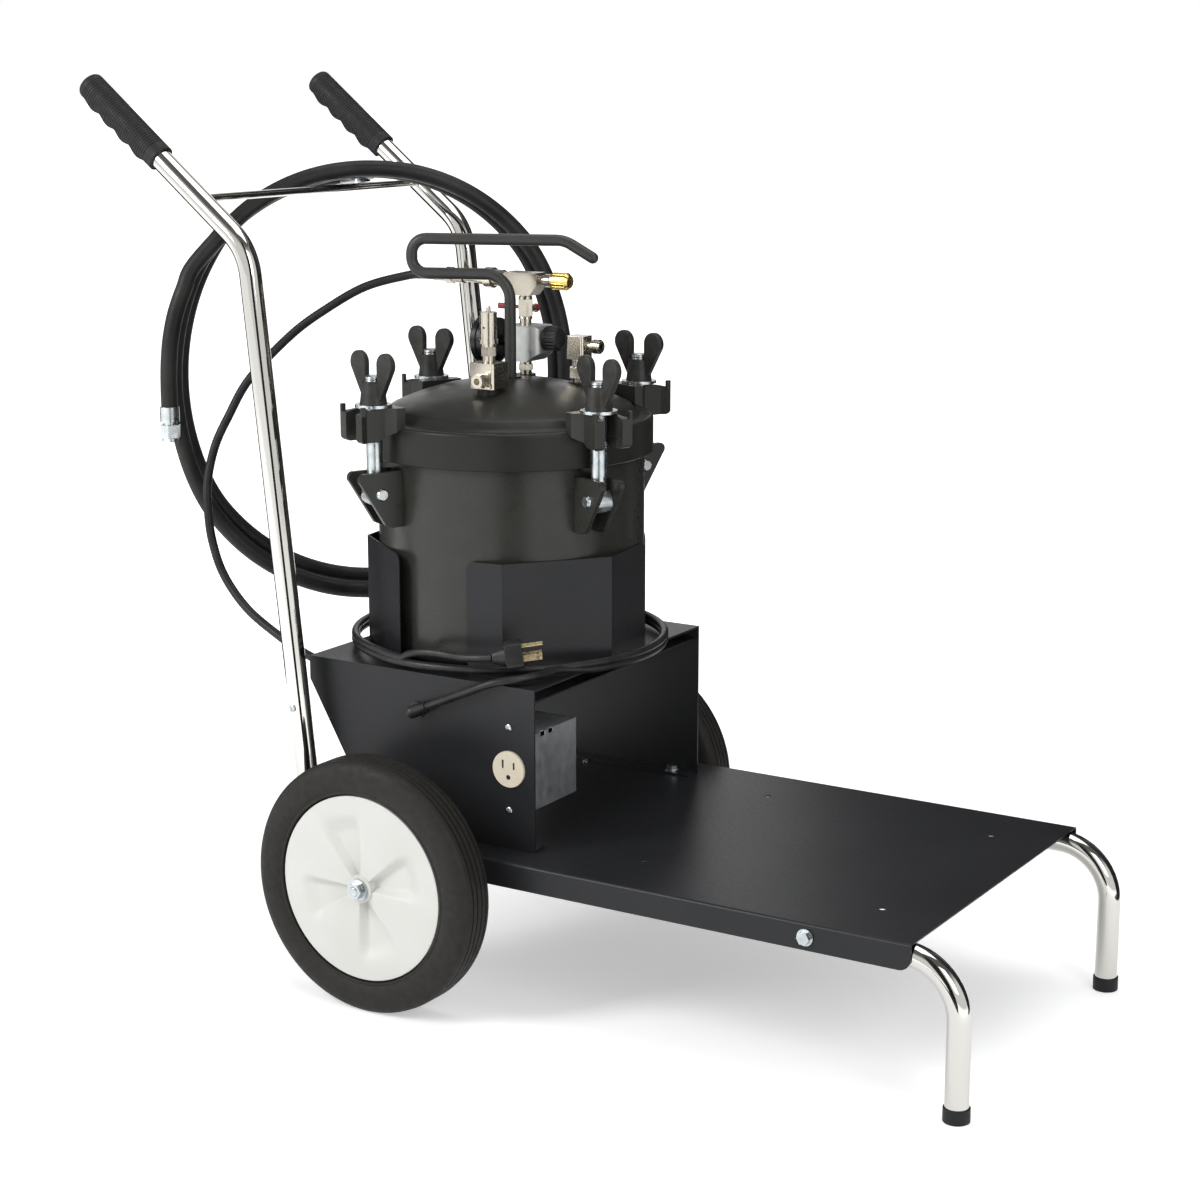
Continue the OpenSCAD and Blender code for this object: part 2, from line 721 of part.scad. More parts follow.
// Plate that hangs from a flange under the deck and holds the axle
module axle_brackets() {
    top = deck_high - deck_sheet;
    for (side = [0, 1]) color(black_sheet) mirror([0, side, 0]) difference() {
        union() {
            translate([axle_x, bracket_out, axle_z]) rotate([90, 0, 0]) linear_extrude(bracket_t) {
                circle(r = bracket_drop);
                translate([-bracket_drop, 0]) square([2 * bracket_drop, top - axle_z]);
            }
            translate([axle_x - bracket_w / 2, bracket_out - bracket_flange, top - bracket_t])
                cube([bracket_w, bracket_flange, bracket_t]);
        }
        translate([axle_x, bracket_out + cut, axle_z]) rotate([90, 0, 0])
            cylinder(d = axle_d + 0.2, h = bracket_t + 2 * cut);
        for (x = [-1, 1]) translate([axle_x + x * bracket_w / 4, bracket_bolt_y, top - 2 * bracket_t])
            cylinder(d = screw_d + 2 * hole_play, h = 3 * bracket_t);
    }
}

// Half section of the tyre: radius across, wheel width up
module tyre_section() {
    r_out = wheel_d / 2;
    r_in = hub_d / 2;
    half = tyre_w / 2;
    tread = 15.5;
    shoulder_r = 8;
    difference() {
        union() {
            translate([r_in, -half + 4]) square([r_out - shoulder_r - r_in, tyre_w - 8]);
            translate([r_in, -tread]) square([r_out - r_in, 2 * tread]);
            for (s = [-1, 1]) {
                translate([r_out - shoulder_r, s * tread]) circle(r = shoulder_r);
                translate([r_in + 12, s * (half - 6)]) circle(r = 6);
                translate([r_in + 12, min(s * half, s * (half - 6))])
                    square([r_out - shoulder_r - r_in - 14, 6]);
            }
        }
        for (y = [-10.5, -3.5, 3.5, 10.5]) translate([r_out - 1.8, y - 0.7]) square([4, 1.4]);
    }
}

module tyre(side) {
    color("#2e2c28") translate([axle_x, side * wheel_out, axle_z]) rotate([-side * 90, 0, 0])
        rotate_extrude($fn = 96) difference() {
            tyre_section();
            translate([hub_d / 2 - 1, 16]) square([4, 12]);
        }
}

module tyre_right() { tyre(-1); }
module tyre_left() { tyre(1); }

// Moulded disc hub; its face is dished towards the axle between four flat petals
module hub(side) {
    rim_r = hub_d / 2 - seat_gap;
    face = hub_face_out - wheel_out;
    inner = hub_tube_in - wheel_out;
    tube_r = 14;
    web_t = 3;
    dish = 6;
    petals = 4;
    petal_from = 41;
    petal_angle = 46;
    petal_r = 75;
    petal_proud = 0.3;
    color("#e3e3dc") translate([axle_x, side * wheel_out, axle_z]) rotate([-side * 90, 0, 0])
        difference() {
            union() {
                rotate_extrude($fn = 96) {
                    translate([0, inner]) square([tube_r, hub_tube_out - hub_tube_in]);
                    polygon([
                        [tube_r - 1, face - dish - web_t], [tube_r - 1, face - dish],
                        [petal_r, face], [rim_r, face], [rim_r, face - 8], [rim_r - 3, face - 8],
                        [rim_r - 3, face - web_t], [petal_r + 1, face - web_t]]);
                    translate([rim_r - 3, -16]) square([3, face + 16 - 2]);
                    translate([rim_r, face - 3.8]) square([1.6, 3.4]);
                }
                for (i = [0 : petals - 1]) rotate([0, 0, 360 / petals * i + petal_from])
                    rotate_extrude(angle = petal_angle, $fn = 96) polygon([
                        [tube_r - 1.5, face - dish - web_t / 2], [petal_r - 1, face - web_t / 2],
                        [petal_r - 1, face + petal_proud], [tube_r - 1.5, face + petal_proud]]);
            }
            translate([0, 0, inner - cut])
                cylinder(d = axle_d + 2 * axle_play, h = hub_tube_out - hub_tube_in + 2 * cut);
        }
}

module hub_right() { hub(-1); }
module hub_left() { hub(1); }

// ---------------------------------------------------------------------------------------------
// Riser box with its socket

riser_outline = [
    [riser_front, deck_high], [riser_front, riser_high], [riser_rear, riser_high],
    [riser_rear, riser_high - riser_rear_h], [riser_foot, deck_high]
];

module riser_box() {
    brace_w = 26;
    brace_t = 2;
    color(black_sheet) difference() {
        union() {
            difference() {
                rotate([90, 0, 0]) linear_extrude(riser_w, center = true) polygon(riser_outline);
                translate([riser_rear - cut, -riser_inner, deck_high - cut])
                    cube([riser_front - riser_rear + 2 * cut, 2 * riser_inner,
                          riser_high - riser_sheet - deck_high + cut]);
            }
            for (side = [0, 1]) mirror([0, side, 0])
                translate([riser_foot + 2, riser_inner - riser_flange, deck_high])
                    cube([riser_front - riser_foot - 4, riser_flange, riser_sheet]);
            for (x = [riser_front - brace_w - 6, riser_rear + 60])
                translate([x, -riser_inner, riser_high - riser_sheet - 14])
                    cube([brace_w, 2 * riser_inner, brace_t]);
        }
        for (x = flange_bolt_x, side = [-1, 1])
            translate([x, side * flange_bolt_y, deck_high - cut])
                cylinder(d = skirt_bolt_d + 2 * hole_play, h = riser_sheet + 2 * cut);
        translate([socket_x, -riser_inner + cut, socket_high]) rotate([90, 0, 0])
            cylinder(d = panel_hole_d, h = riser_sheet + 2 * cut);
        for (z = [-1, 1])
            translate([socket_x, -riser_inner + cut, socket_high + z * socket_screw_pitch / 2])
                rotate([90, 0, 0])
                    cylinder(d = screw_d + 2 * hole_play, h = riser_sheet + 2 * cut);
    }
}

// Steel outlet box behind the panel, open towards the socket
module device_box() {
    depth = device_depth - device_wall;
    color("#a9adb0") translate([socket_x - device_w / 2 + 2, -riser_inner + strap_t,
                                socket_high - device_h / 2]) difference() {
        cube([device_w, device_depth, device_h]);
        translate([device_wall, -cut, device_wall])
            cube([device_w - 2 * device_wall, depth + cut, device_h - 2 * device_wall]);
        for (x = [10, 24]) translate([device_w - cut - device_wall, x, device_h - 5])
            cube([4, 8, 6]);
    }
}

module receptacle() {
    body_w = 34;
    body_h = 66;
    body_depth = 26;
    proud = 2.2;
    slot_w = 2.2;
    slot_deep = 8;
    color("#e9e2cf") translate([socket_x, -riser_inner, socket_high]) rotate([90, 0, 0])
        difference() {
            union() {
                translate([0, 0, -strap_t]) cylinder(d = socket_d, h = strap_t + riser_sheet + proud);
                difference() {
                    translate([0, 0, -strap_t / 2]) cube([strap_w, strap_len, strap_t], center = true);
                    for (z = [-1, 1]) translate([0, z * socket_screw_pitch / 2, -2 * strap_t])
                        cylinder(d = screw_d + 2 * hole_play, h = 4 * strap_t);
                }
                translate([-body_w / 2, -body_h / 2, -strap_t - body_depth])
                    cube([body_w, body_h, body_depth]);
            }
            translate([0, 0, riser_sheet + proud - slot_deep]) {
                for (x = [-6.35, 6.35]) translate([x - slot_w / 2, 0.5, 0])
                    cube([slot_w, x > 0 ? 7 : 8.5, slot_deep + cut]);
                translate([0, -8, 0]) cylinder(d = 5, h = slot_deep + cut, $fn = 32);
            }
        }
}

// Cord exit: a flange on the panel and a tapered sleeve that turns the cord along the panel
module strain_relief() {
    start = placed([cord_route[0]])[0];
    way = unit(cord_route[1] - cord_route[0]);
    sleeve = 26;
    color(black_rubber) {
        translate([behind(relief_behind), -riser_side, relief_high]) rotate([90, 0, 0]) {
            cylinder(d = 17, h = 2.5);
            cylinder(d = 13, h = 9);
            translate([0, 0, 9.5]) sphere(d = 13);
        }
        translate(start) rotate([0, acos(-way[2]), atan2(-way[1], -way[0])])
            cylinder(d1 = cord_d + 2, d2 = 12.4, h = sleeve - 6);
    }
}

// ---------------------------------------------------------------------------------------------
// Tank and cradle

module tank_shell() {
    base = riser_high;
    r_in = tank_r - tank_wall;
    edge_in = tank_edge_r - tank_wall;
    color(black_paint) translate([tank_x, 0, base]) rotate_extrude($fn = 128) difference() {
        union() {
            translate([0, tank_edge_r]) square([tank_r, tank_h - tank_edge_r]);
            square([tank_r - tank_edge_r, tank_edge_r + cut]);
            intersection() {
                translate([tank_r - tank_edge_r, tank_edge_r]) circle(r = tank_edge_r);
                translate([tank_r - tank_edge_r - cut, 0]) square([tank_edge_r + cut, tank_edge_r + cut]);
            }
        }
        translate([0, tank_edge_r]) square([r_in, tank_h]);
        translate([0, tank_wall]) square([tank_r - tank_edge_r, tank_edge_r]);
        intersection() {
            translate([tank_r - tank_edge_r, tank_edge_r]) circle(r = edge_in);
            translate([tank_r - tank_edge_r - cut, 0]) square([tank_edge_r, tank_edge_r + cut]);
        }
    }
}

// A stretch of the octagonal band round the tank's foot, from one angle to another
module cradle(from, to) {
    far = 2 * cradle_out;
    color(black_sheet) translate([tank_x, 0, riser_high]) linear_extrude(cradle_h)
        intersection() {
            rotate(-60) difference() {
                circle(r = cradle_out * octagon, $fn = 8);
                circle(r = cradle_in * octagon, $fn = 8);
            }
            polygon(concat([[0, 0]],
                [for (k = [0 : 4]) let (a = from + (to - from) * k / 4) far * [cos(a), sin(a)]]));
        }
}

module cradle_front() { cradle(-75, 18); }
module cradle_rear() { cradle(42, 255); }

module lid_gasket() {
    color("#3b3a35") translate([tank_x, 0, tank_top]) difference() {
        cylinder(r = tank_r, h = gasket_t, $fn = 128);
        translate([0, 0, -cut]) cylinder(r = tank_r - 8, h = gasket_t + 2 * cut, $fn = 128);
    }
}

// Welded bungs on the dome: place, height of the flat top and diameter
bungs = [
    [[tank_x, 0], dome_apex_z + 1.5, 22], [column_at, column_base, 20],
    [relief_at, relief_base, 22], [elbow_at, elbow_base, 24]
];

module lid() {
    band_bottom = dome_rim_z - band_h;
    band_in = lid_r - lid_t;
    color(black_paint) {
        translate([tank_x, 0, 0]) rotate_extrude($fn = 128) {
            difference() {
                intersection() {
                    translate([0, dome_centre_z]) circle(r = dome_r, $fn = 256);
                    translate([0, dome_rim_z]) square([lid_r - 2, 2 * dome_h]);
                }
                translate([0, dome_centre_z]) circle(r = dome_r - lid_t, $fn = 256);
            }
            translate([band_in, band_bottom]) square([lid_t, band_h - 1.2]);
            translate([band_in - 6, dome_rim_z - lid_t]) square([lid_t + 4.8, lid_t + 0.6]);
            translate([lid_r - 1.2, dome_rim_z - 1.2]) circle(r = 1.2);
        }
        for (b = bungs) difference() {
            translate([b[0][0], b[0][1], b[1] - 12]) cylinder(d = b[2], h = 12);
            translate([tank_x, 0, dome_centre_z]) sphere(r = dome_r - lid_t / 2, $fn = 256);
        }
    }
}

// ---------------------------------------------------------------------------------------------
// Clamps: each has a local frame with X out from the tank axis and Z up

module at_clamp(k) {
    translate([tank_x, 0, 0]) rotate([0, 0, clamp_angles[k]]) children();
}

// Fork on the lid band. The tips' tops fall away so that a tight washer still swings clear of them.
module yoke() {
    relief = 0.6;
    flare_r = clamp_r - 3.5;
    horn_in = washer_r + 0.6;
    horn_h = 3;
    bottom = yoke_top - yoke_h;
    difference() {
        union() {
            translate([0, 0, bottom]) linear_extrude(yoke_h) difference() {
                polygon([
                    [lid_r - 8, -yoke_root_w / 2], [lid_r + 2, -yoke_root_w / 2],
                    [flare_r, -yoke_w / 2], [yoke_tip_r - 9, -yoke_w / 2],
                    [yoke_tip_r, -horn_in - 3], [yoke_tip_r, horn_in + 3],
                    [yoke_tip_r - 9, yoke_w / 2], [flare_r, yoke_w / 2],
                    [lid_r + 2, yoke_root_w / 2], [lid_r - 8, yoke_root_w / 2]]);
                translate([clamp_r - bolt_d / 2 - 2, -yoke_slot / 2])
                    square([yoke_tip_r, yoke_slot]);
            }
            for (side = [-1, 1])
                translate([yoke_tip_r - 5, side > 0 ? horn_in : -horn_in - 3, yoke_top - 6])
                    cube([5, 3, horn_h + 6]);
        }
        // the swept disc of the washer's underside about the hinge pin
        translate([clamp_r, 0, pin_z]) rotate([90, 0, 0]) difference() {
            translate([0, 0, -horn_in]) linear_extrude(2 * horn_in) difference() {
                translate([0, yoke_high - 12]) square([40, 40]);
                circle(r = yoke_high - relief);
                translate([-1, 0]) square([1.2 * relief, 80]);
            }
        }
        // the lid's own wall and dome
        cylinder(r = lid_r + seat_gap, h = dome_rim_z, $fn = 128);
        translate([0, 0, dome_centre_z]) sphere(r = dome_r + seat_gap, $fn = 256);
        // rounded lower corners of the tips
        translate([yoke_tip_r, 0, bottom]) rotate([90, 0, 0])
            linear_extrude(yoke_root_w, center = true) difference() {
                translate([-5, -cut]) square(5 + cut);
                translate([-5, 5]) circle(r = 5);
            }
    }
}

module lid_yokes() {
    for (k = [0 : 3]) color(black_paint) at_clamp(k) yoke();
}

// Pair of plates on the tank wall that hold the hinge pin
module clamp_lugs() {
    for (k = [0 : 3]) color(black_paint) at_clamp(k) difference() {
        for (side = [0, 1]) mirror([0, side, 0])
            translate([0, lug_gap / 2 + lug_t, 0]) rotate([90, 0, 0]) linear_extrude(lug_t) {
                polygon([
                    [tank_r - 4, lug_bottom], [tank_r + 12, lug_bottom],
                    [clamp_r - 4, lug_bottom + 3], [lug_reach - 1, lug_top - lug_corner_r - 3],
                    [lug_reach, lug_top - lug_corner_r], [lug_reach - lug_corner_r, lug_top],
                    [tank_r - 4, lug_top]]);
                translate([lug_reach - lug_corner_r, lug_top - lug_corner_r])
                    circle(r = lug_corner_r);
            }
        cylinder(r = tank_r, h = lug_top + cut, $fn = 128);
        translate([clamp_r, 0, pin_z]) rotate([90, 0, 0])
            cylinder(d = pin_d + 2 * pin_play, h = lug_gap + 4 * lug_t, center = true);
    }
}

module clamp_pins() {
    grip_len_pin = lug_gap + 2 * lug_t + 0.4;
    for (k = [0 : 3]) color(zinc) at_clamp(k) translate([clamp_r, 0, pin_z]) rotate([90, 0, 0]) {
        cylinder(d = pin_d, h = grip_len_pin, center = true);
        for (side = [0, 1]) mirror([0, 0, side]) translate([0, 0, grip_len_pin / 2])
            cylinder(d1 = pin_head_d, d2 = pin_head_d - 3, h = pin_head_t);
    }
}

module swing_bolt(k) {
    point = 1.5;
    color(zinc) at_clamp(k) translate([clamp_r, 0, pin_z]) difference() {
        union() {
            rotate([90, 0, 0]) cylinder(d = eye_d, h = eye_w, center = true);
            cylinder(d = bolt_d, h = bolt_top - pin_z - point);
            translate([0, 0, bolt_top - pin_z - point])
                cylinder(d1 = bolt_d, d2 = bolt_d - 2 * point, h = point);
        }
        rotate([90, 0, 0]) cylinder(d = pin_d + 2 * pin_play, h = eye_w + 2 * cut, center = true);
    }
}

module swing_bolt_1() { swing_bolt(0); }
module swing_bolt_2() { swing_bolt(1); }
module swing_bolt_3() { swing_bolt(2); }
module swing_bolt_4() { swing_bolt(3); }

module clamp_washer(k) {
    color(zinc) at_clamp(k) translate([clamp_r, 0, yoke_top]) difference() {
        cylinder(d = washer_d, h = washer_t);
        translate([0, 0, -cut]) cylinder(d = bolt_d + 0.2, h = washer_t + 2 * cut);
    }
}

module clamp_washer_1() { clamp_washer(0); }
module clamp_washer_2() { clamp_washer(1); }
module clamp_washer_3() { clamp_washer(2); }
module clamp_washer_4() { clamp_washer(3); }

// Outline of one ear, from the hub's foot up to its round top
module ear_outline() {
    top = [nut_span / 2 - ear_r, nut_h - ear_r];
    translate(top) circle(r = ear_r);
    polygon([
        [7, 4], [nut_bottom_d / 2 - 1, 2], [top[0] + ear_r * cos(-18), top[1] + ear_r * sin(-18)],
        top, [top[0] - ear_r * cos(20), top[1] - ear_r * sin(20)], [8, nut_hub_h - 4]]);
}

module wing_nut(k) {
    color("#3a3a37") at_clamp(k) translate([clamp_r, 0, nut_base])
        rotate([0, 0, nut_angles[k] - clamp_angles[k]]) difference() {
            union() {
                cylinder(d1 = nut_bottom_d, d2 = nut_top_d, h = nut_hub_h);
                for (side = [0, 1]) mirror([side, 0, 0]) rotate([90, 0, 0])
                    linear_extrude(ear_t, center = true) ear_outline();
            }
            translate([0, 0, -cut]) cylinder(d = bolt_d + 0.1, h = nut_h + 2 * cut);
        }
}

module wing_nut_1() { wing_nut(0); }
module wing_nut_2() { wing_nut(1); }
module wing_nut_3() { wing_nut(2); }
module wing_nut_4() { wing_nut(3); }

// Bent rod on the lid that takes a hand or the spray gun's hook
module lid_handle() {
    foot = dome_apex_z + 1.5;
    back = -hook_back - hook_gap / 2;
    high = hook_low_z + hook_gap;
    tip = [hook_fore, high - hook_drop];
    points = [
        [0, foot], [0, hook_low_z], [back, hook_low_z], [back, high], [hook_level, high], tip
    ];
    bends = [25, hook_gap / 2 - 2, hook_gap / 2 - 2, 30];
    color("#3d3e3b") translate([tank_x, 0, 0]) rotate([0, 0, hook_turn]) {
        bent_bar(points, bends, hook_d);
        translate([tip[0], 0, tip[1]]) sphere(d = hook_d - bend_thinning);
    }
}

// ---------------------------------------------------------------------------------------------
// Air manifold on the lid

// A body turned about the X axis, from a list of [length, diameter] steps towards +X
module turned(steps, i = 0, at = 0) {
    if (i < len(steps)) {
        translate([at, 0, 0]) rotate([0, 90, 0]) cylinder(d = steps[i][1], h = steps[i][0]);
        turned(steps, i + 1, at + steps[i][0]);
    }
}

module pipe_nipples() {
    lower = regulator_z - column_base;
    upper = valve_z - regulator_top;
    color(nickel) translate([column_x, column_left, 0]) {
        translate([0, 0, column_base]) cylinder(d = nipple_d, h = lower);
        translate([0, 0, column_base + lower / 2 - 3]) hex(nipple_d + 2, 6);
        translate([0, 0, regulator_top]) cylinder(d = nipple_d, h = upper);
        translate([0, 0, valve_z + valve_h]) cylinder(d = nipple_d - 1, h = tee_z - valve_z - valve_h);
    }
}

module regulator_body() {
    w = 36;
    front = regulator_front_x - column_x;
    back = regulator_back_x - column_x;
    color("#aeb2b0") translate([column_x, column_left, regulator_z]) {
        intersection() {
            rotate([90, 0, 0]) linear_extrude(w, center = true) polygon([
                [back + 5, 0], [front - 13, 0], [front, 9], [front, regulator_h - 3],
                [front - 3, regulator_h], [back + 3, regulator_h], [back, regulator_h - 3],
                [back, 6]]);
            linear_extrude(regulator_h) translate([(front + back) / 2, 0])
                round_rect(front - back, w, 9);
        }
        translate([front - 3, 0, knob_z - regulator_z]) rotate([0, 90, 0])
            cylinder(d = 17, h = 3 + 1.5);
        translate([front - 8, -w / 2 - 1.5, 13]) rotate([-90, 0, 0]) cylinder(d = 5, h = 3);
    }
}

module regulator_knob() {
    flutes = 20;
    start = regulator_front_x + 1.5 + 0.3;
    color("#3a3b3b") translate([start, column_left, knob_z]) rotate([0, 90, 0]) difference() {
        union() {
            cylinder(d = knob_d, h = knob_len - 2);
            translate([0, 0, knob_len - 2]) cylinder(d1 = knob_d, d2 = knob_d - 5, h = 2);
        }
        for (i = [0 : flutes - 1]) rotate([0, 0, 360 / flutes * i])
            translate([knob_d / 2 + 0.5, 0, 3]) cylinder(d = 3, h = knob_len, $fn = 16);
    }
}

module pressure_gauge() {
    stub = regulator_back_x - gauge_face_x - gauge_t;
    color("#1f2021") translate([gauge_face_x, column_left, gauge_z]) rotate([0, 90, 0])
        difference() {
            union() {
                cylinder(d = gauge_d, h = 6);
                translate([0, 0, 6]) cylinder(d = gauge_d - 3, h = gauge_t - 12);
                translate([0, 0, gauge_t - 6]) cylinder(d1 = gauge_d - 3, d2 = gauge_d - 16, h = 6);
                translate([0, 0, gauge_t]) cylinder(d = 11, h = stub);
            }
            translate([0, 0, -cut]) cylinder(d = gauge_d - 4, h = cut + 2);
        }
}

module ball_valve() {
    color(nickel) translate([column_x, column_left, valve_z]) {
        cylinder(d = valve_af, h = 3);
        translate([0, 0, 3]) hex(valve_af, valve_h - 6);
        translate([0, 0, valve_h - 3]) cylinder(d = valve_af, h = 3);
        translate([0, valve_af / 2 - 1, lever_z - valve_z]) rotate([-90, 0, 0])
            cylinder(d = 7, h = stem_out - valve_af / 2 + 1);
    }
}

// Flat lever on the valve's stem, with a sleeve over its end
module valve_lever() {
    sleeve = 18;
    color("#a3202c") translate([column_x, column_left + stem_out, lever_z]) {
        rotate([-90, 0, 0]) cylinder(d = 9, h = 2.4);
        translate([-lever_len + 2, 0, -1.8]) cube([lever_len - 2, 2.4, 3.6]);
        translate([-lever_len + sleeve, 1.2, 0]) rotate([0, -90, 0])
            linear_extrude(sleeve) round_rect(6, 4, 1.9);
    }
}

module manifold_tee() {
    half_top = tee_half;
    half_foot = 11;
    thick = 20;
    color(nickel) translate([column_x, column_left, tee_z]) {
        rotate([90, 0, 0]) linear_extrude(thick, center = true) polygon([
            [-half_foot, 0], [half_foot, 0], [half_top, tee_h - 12], [half_top, tee_h - 1.5],
            [half_top - 2, tee_h], [-half_top + 2, tee_h], [-half_top, tee_h - 1.5],
            [-half_top, tee_h - 12]]);
        translate([half_top, 0, arm_z - tee_z]) turned([[5.5, 10], [6, 13], [3.5, 11]]);
    }
}

module brass_cap() {
    start = column_x + tee_half + 15;
    ribs = 18;
    color("#d8b443") translate([start, column_left, arm_z]) rotate([0, 90, 0]) difference() {
        union() {
            cylinder(d = cap_d, h = cap_len - 4);
            translate([0, 0, cap_len - 4]) cylinder(d1 = cap_d, d2 = cap_d - 5, h = 3);
            translate([0, 0, cap_len - 1]) cylinder(d1 = cap_d - 5, d2 = 6, h = 1);
        }
        for (i = [0 : ribs - 1]) rotate([0, 0, 360 / ribs * i]) translate([cap_d / 2 + 0.6, 0, 2])
            cylinder(d = 2, h = cap_len, $fn = 16);
    }
}

// Quick coupler and hose end on the manifold's rear arm
module hose_coupler() {
    start = column_x - tee_half;
    stop = placed([air_route[0]])[0][0];
    run = start - stop;
    color(nickel) translate([start, column_left, arm_z]) mirror([1, 0, 0]) {
        turned([[6, 11], [12, 17], [9, 21], [8, 16], [run - 72, 12], [13, 15]]);
        translate([48 + run - 72, 0, 0]) rotate([0, 90, 0]) hex(15, 9);
        translate([57 + run - 72, 0, 0]) rotate([0, 90, 0]) cylinder(d = 13, h = 15);
    }
}

module relief_block() {
    w = relief_w;
    color(nickel) translate([relief_at[0], relief_at[1], relief_base]) {
        intersection() {
            translate([-w / 2, -w / 2, 0]) cube([w, w, relief_block_h]);
            cylinder(r = relief_corner_r, h = relief_block_h);
        }
        translate([4, -w / 2, 9]) rotate([90, 0, 0]) difference() {
            union() {
                cylinder(d = 13, h = 5);
                translate([0, 0, 5]) hex(13.4, 6);
                translate([0, 0, 11]) cylinder(d = 13, h = 2);
            }
            translate([0, 0, 3]) cylinder(d = 6.5, h = 12);
        }
        translate([10.5, -w / 2, 3.6]) rotate([90, 0, 0]) difference() {
            cylinder(d = 6, h = 2.5);
            translate([-4, -0.5, 1.2]) cube([8, 1, 3]);
        }
    }
}

module relief_valve() {
    foot = relief_base + relief_block_h;
    body_h = 31;
    color(nickel) translate([relief_at[0], relief_at[1], 0]) difference() {
        union() {
            translate([0, 0, foot]) cylinder(d = 12.5, h = 6.5);
            translate([0, 0, foot + 6.5]) hex(14, 9);
            translate([0, 0, foot + 15.5]) cylinder(d = 15, h = 3);
            translate([0, 0, relief_body_z]) cylinder(d = 18.6, h = 4);
            translate([0, 0, relief_body_z + 4]) cylinder(d = 16.8, h = body_h - 4);
        }
        translate([0, 0, relief_body_z + 6]) cylinder(d = 4.6, h = body_h);
        translate([0, 0, relief_body_z + 16]) rotate([90, 0, 0]) cylinder(d = 2.4, h = 10);
    }
}

module relief_stem() {
    body_top = relief_body_z + 31;
    color(nickel) translate([relief_at[0], relief_at[1], 0]) {
        translate([0, 0, relief_body_z + 12]) cylinder(d = 4.5, h = body_top - relief_body_z - 12 + 4);
        translate([0, 0, body_top + 4]) cylinder(d1 = 4.5, d2 = 3.4, h = 1.6);
    }
}

module outlet_elbow() {
    w = 20;
    color(nickel) translate([elbow_at[0], elbow_at[1], 0]) difference() {
        union() {
            translate([0, 0, elbow_base]) cylinder(d = 14, h = elbow_z - elbow_base);
            translate([0, 0, elbow_base + 4]) hex(19, 11);
            translate([0, 0, elbow_z]) linear_extrude(elbow_h) round_rect(w, w, 3);
            translate([w / 2, 0, outlet_z]) turned([[5.6, 8.6], [2.2, 13], [7, 14.7], [1.6, 12.4]]);
        }
        translate([0, 0, outlet_z]) rotate([0, 90, 0]) cylinder(d = 5.4, h = 2 * w);
        translate([0, 0, elbow_base - cut]) cylinder(d = 5.4, h = outlet_z - elbow_base + cut);
    }
}

// ---------------------------------------------------------------------------------------------
// Hoses and cord

module air_hose() {
    color(black_rubber) swept_tube(placed(air_route), air_hose_d, 2, 10, [0, 1, 0]);
}

// Elbow under the riser's top that takes the air hose
module air_inlet_fitting() {
    p = placed([air_route[len(air_route) - 1]])[0];
    under = riser_high - riser_sheet;
    color(nickel) translate([p[0], p[1], p[2]]) {
        turned([[9, 14], [14, 12]]);
        translate([23 - 1, -7, -7]) cube([14, 14, under - p[2] + 7]);
    }
}

// Outline of a hanging loop: two half rounds joined by short straights
module loop_outline(r, straight, drop) {
    translate([0, -drop]) {
        for (side = [-1, 1]) translate([0, side * straight / 2]) circle(r = r, $fn = 96);
        square([2 * r, straight], center = true);
    }
}

// A closed ring round all of the hose's hanging turns, thicker at the bottom where they spread
module hose_coil() {
    color(black_rubber) translate([coil_at[0], coil_at[1], coil_z]) rotate([90, 0, coil_turn])
        linear_extrude(coil_wide, center = true) difference() {
            loop_outline(coil_out_r, coil_out_straight, coil_out_drop);
            loop_outline(coil_in_r, coil_in_straight, coil_in_drop);
        }
}

// Points beside the coil: along its plane, out of its plane towards the right, and up
function beside_coil(p) = [
    coil_at[0] + p[0] * cos(coil_turn) + p[1] * sin(coil_turn),
    coil_at[1] + p[0] * sin(coil_turn) - p[1] * cos(coil_turn),
    p[2]
];
tail_points = [for (p = tail_route) beside_coil(p)];
back_end_points = [for (p = back_end_route) beside_coil(p)];

module hose_tail() {
    color(black_rubber) {
        swept_tube(tail_points, fluid_hose_d, 1, 12, [1, 0, 0]);
        swept_tube(back_end_points, fluid_hose_d, 1, 12, [0, 0, 1]);
    }
}

// Crimped ferrule and swivel nut; Z runs away from the hose
module hose_fitting() {
    difference() {
        union() {
            cylinder(d = fluid_hose_d + 3, h = 16);
            translate([0, 0, 16]) cylinder(d = 14, h = 3);
            translate([0, 0, 19]) hex(19, 14);
            translate([0, 0, 33]) cylinder(d = 17.5, h = 4);
        }
        translate([0, 0, 26]) cylinder(d = 12, h = 12);
    }
}

module hose_end_fitting() {
    back_end_rise = 8;
    color(zinc) {
        translate(tail_points[len(tail_points) - 1]) mirror([0, 0, 1]) hose_fitting();
        translate(back_end_points[len(back_end_points) - 1])
            rotate([0, 90 - back_end_rise, coil_turn]) hose_fitting();
    }
}

module power_coil() {
    color(black_rubber) translate([tank_x, -power_ring_right, power_ring_z])
        rotate_extrude($fn = 96)
        translate([power_ring_in + power_ring_w / 2, power_ring_h / 2])
            round_rect(power_ring_w, power_ring_h, 3);
}

module power_tail() {
    color(black_rubber) {
        swept_tube(placed(cord_route), cord_d, 1, 10, [0, 1, 0]);
        swept_tube(placed(plug_route), cord_d, 1, 10, [0, 0, 1]);
    }
}

// The plug leans on the coil's outer side; its frame has X towards the blades
module at_plug() {
    translate(placed([plug_route[0]])[0]) rotate([0, -8, 34]) children();
}

module plug_body() {
    boot = 13;
    color(black_rubber) at_plug() {
        rotate([0, 90, 0]) cylinder(d1 = 12, d2 = 20, h = boot);
        translate([boot, 0, 0]) rotate([90, 0, 90]) linear_extrude(17) round_rect(23, 26, 6);
    }
}

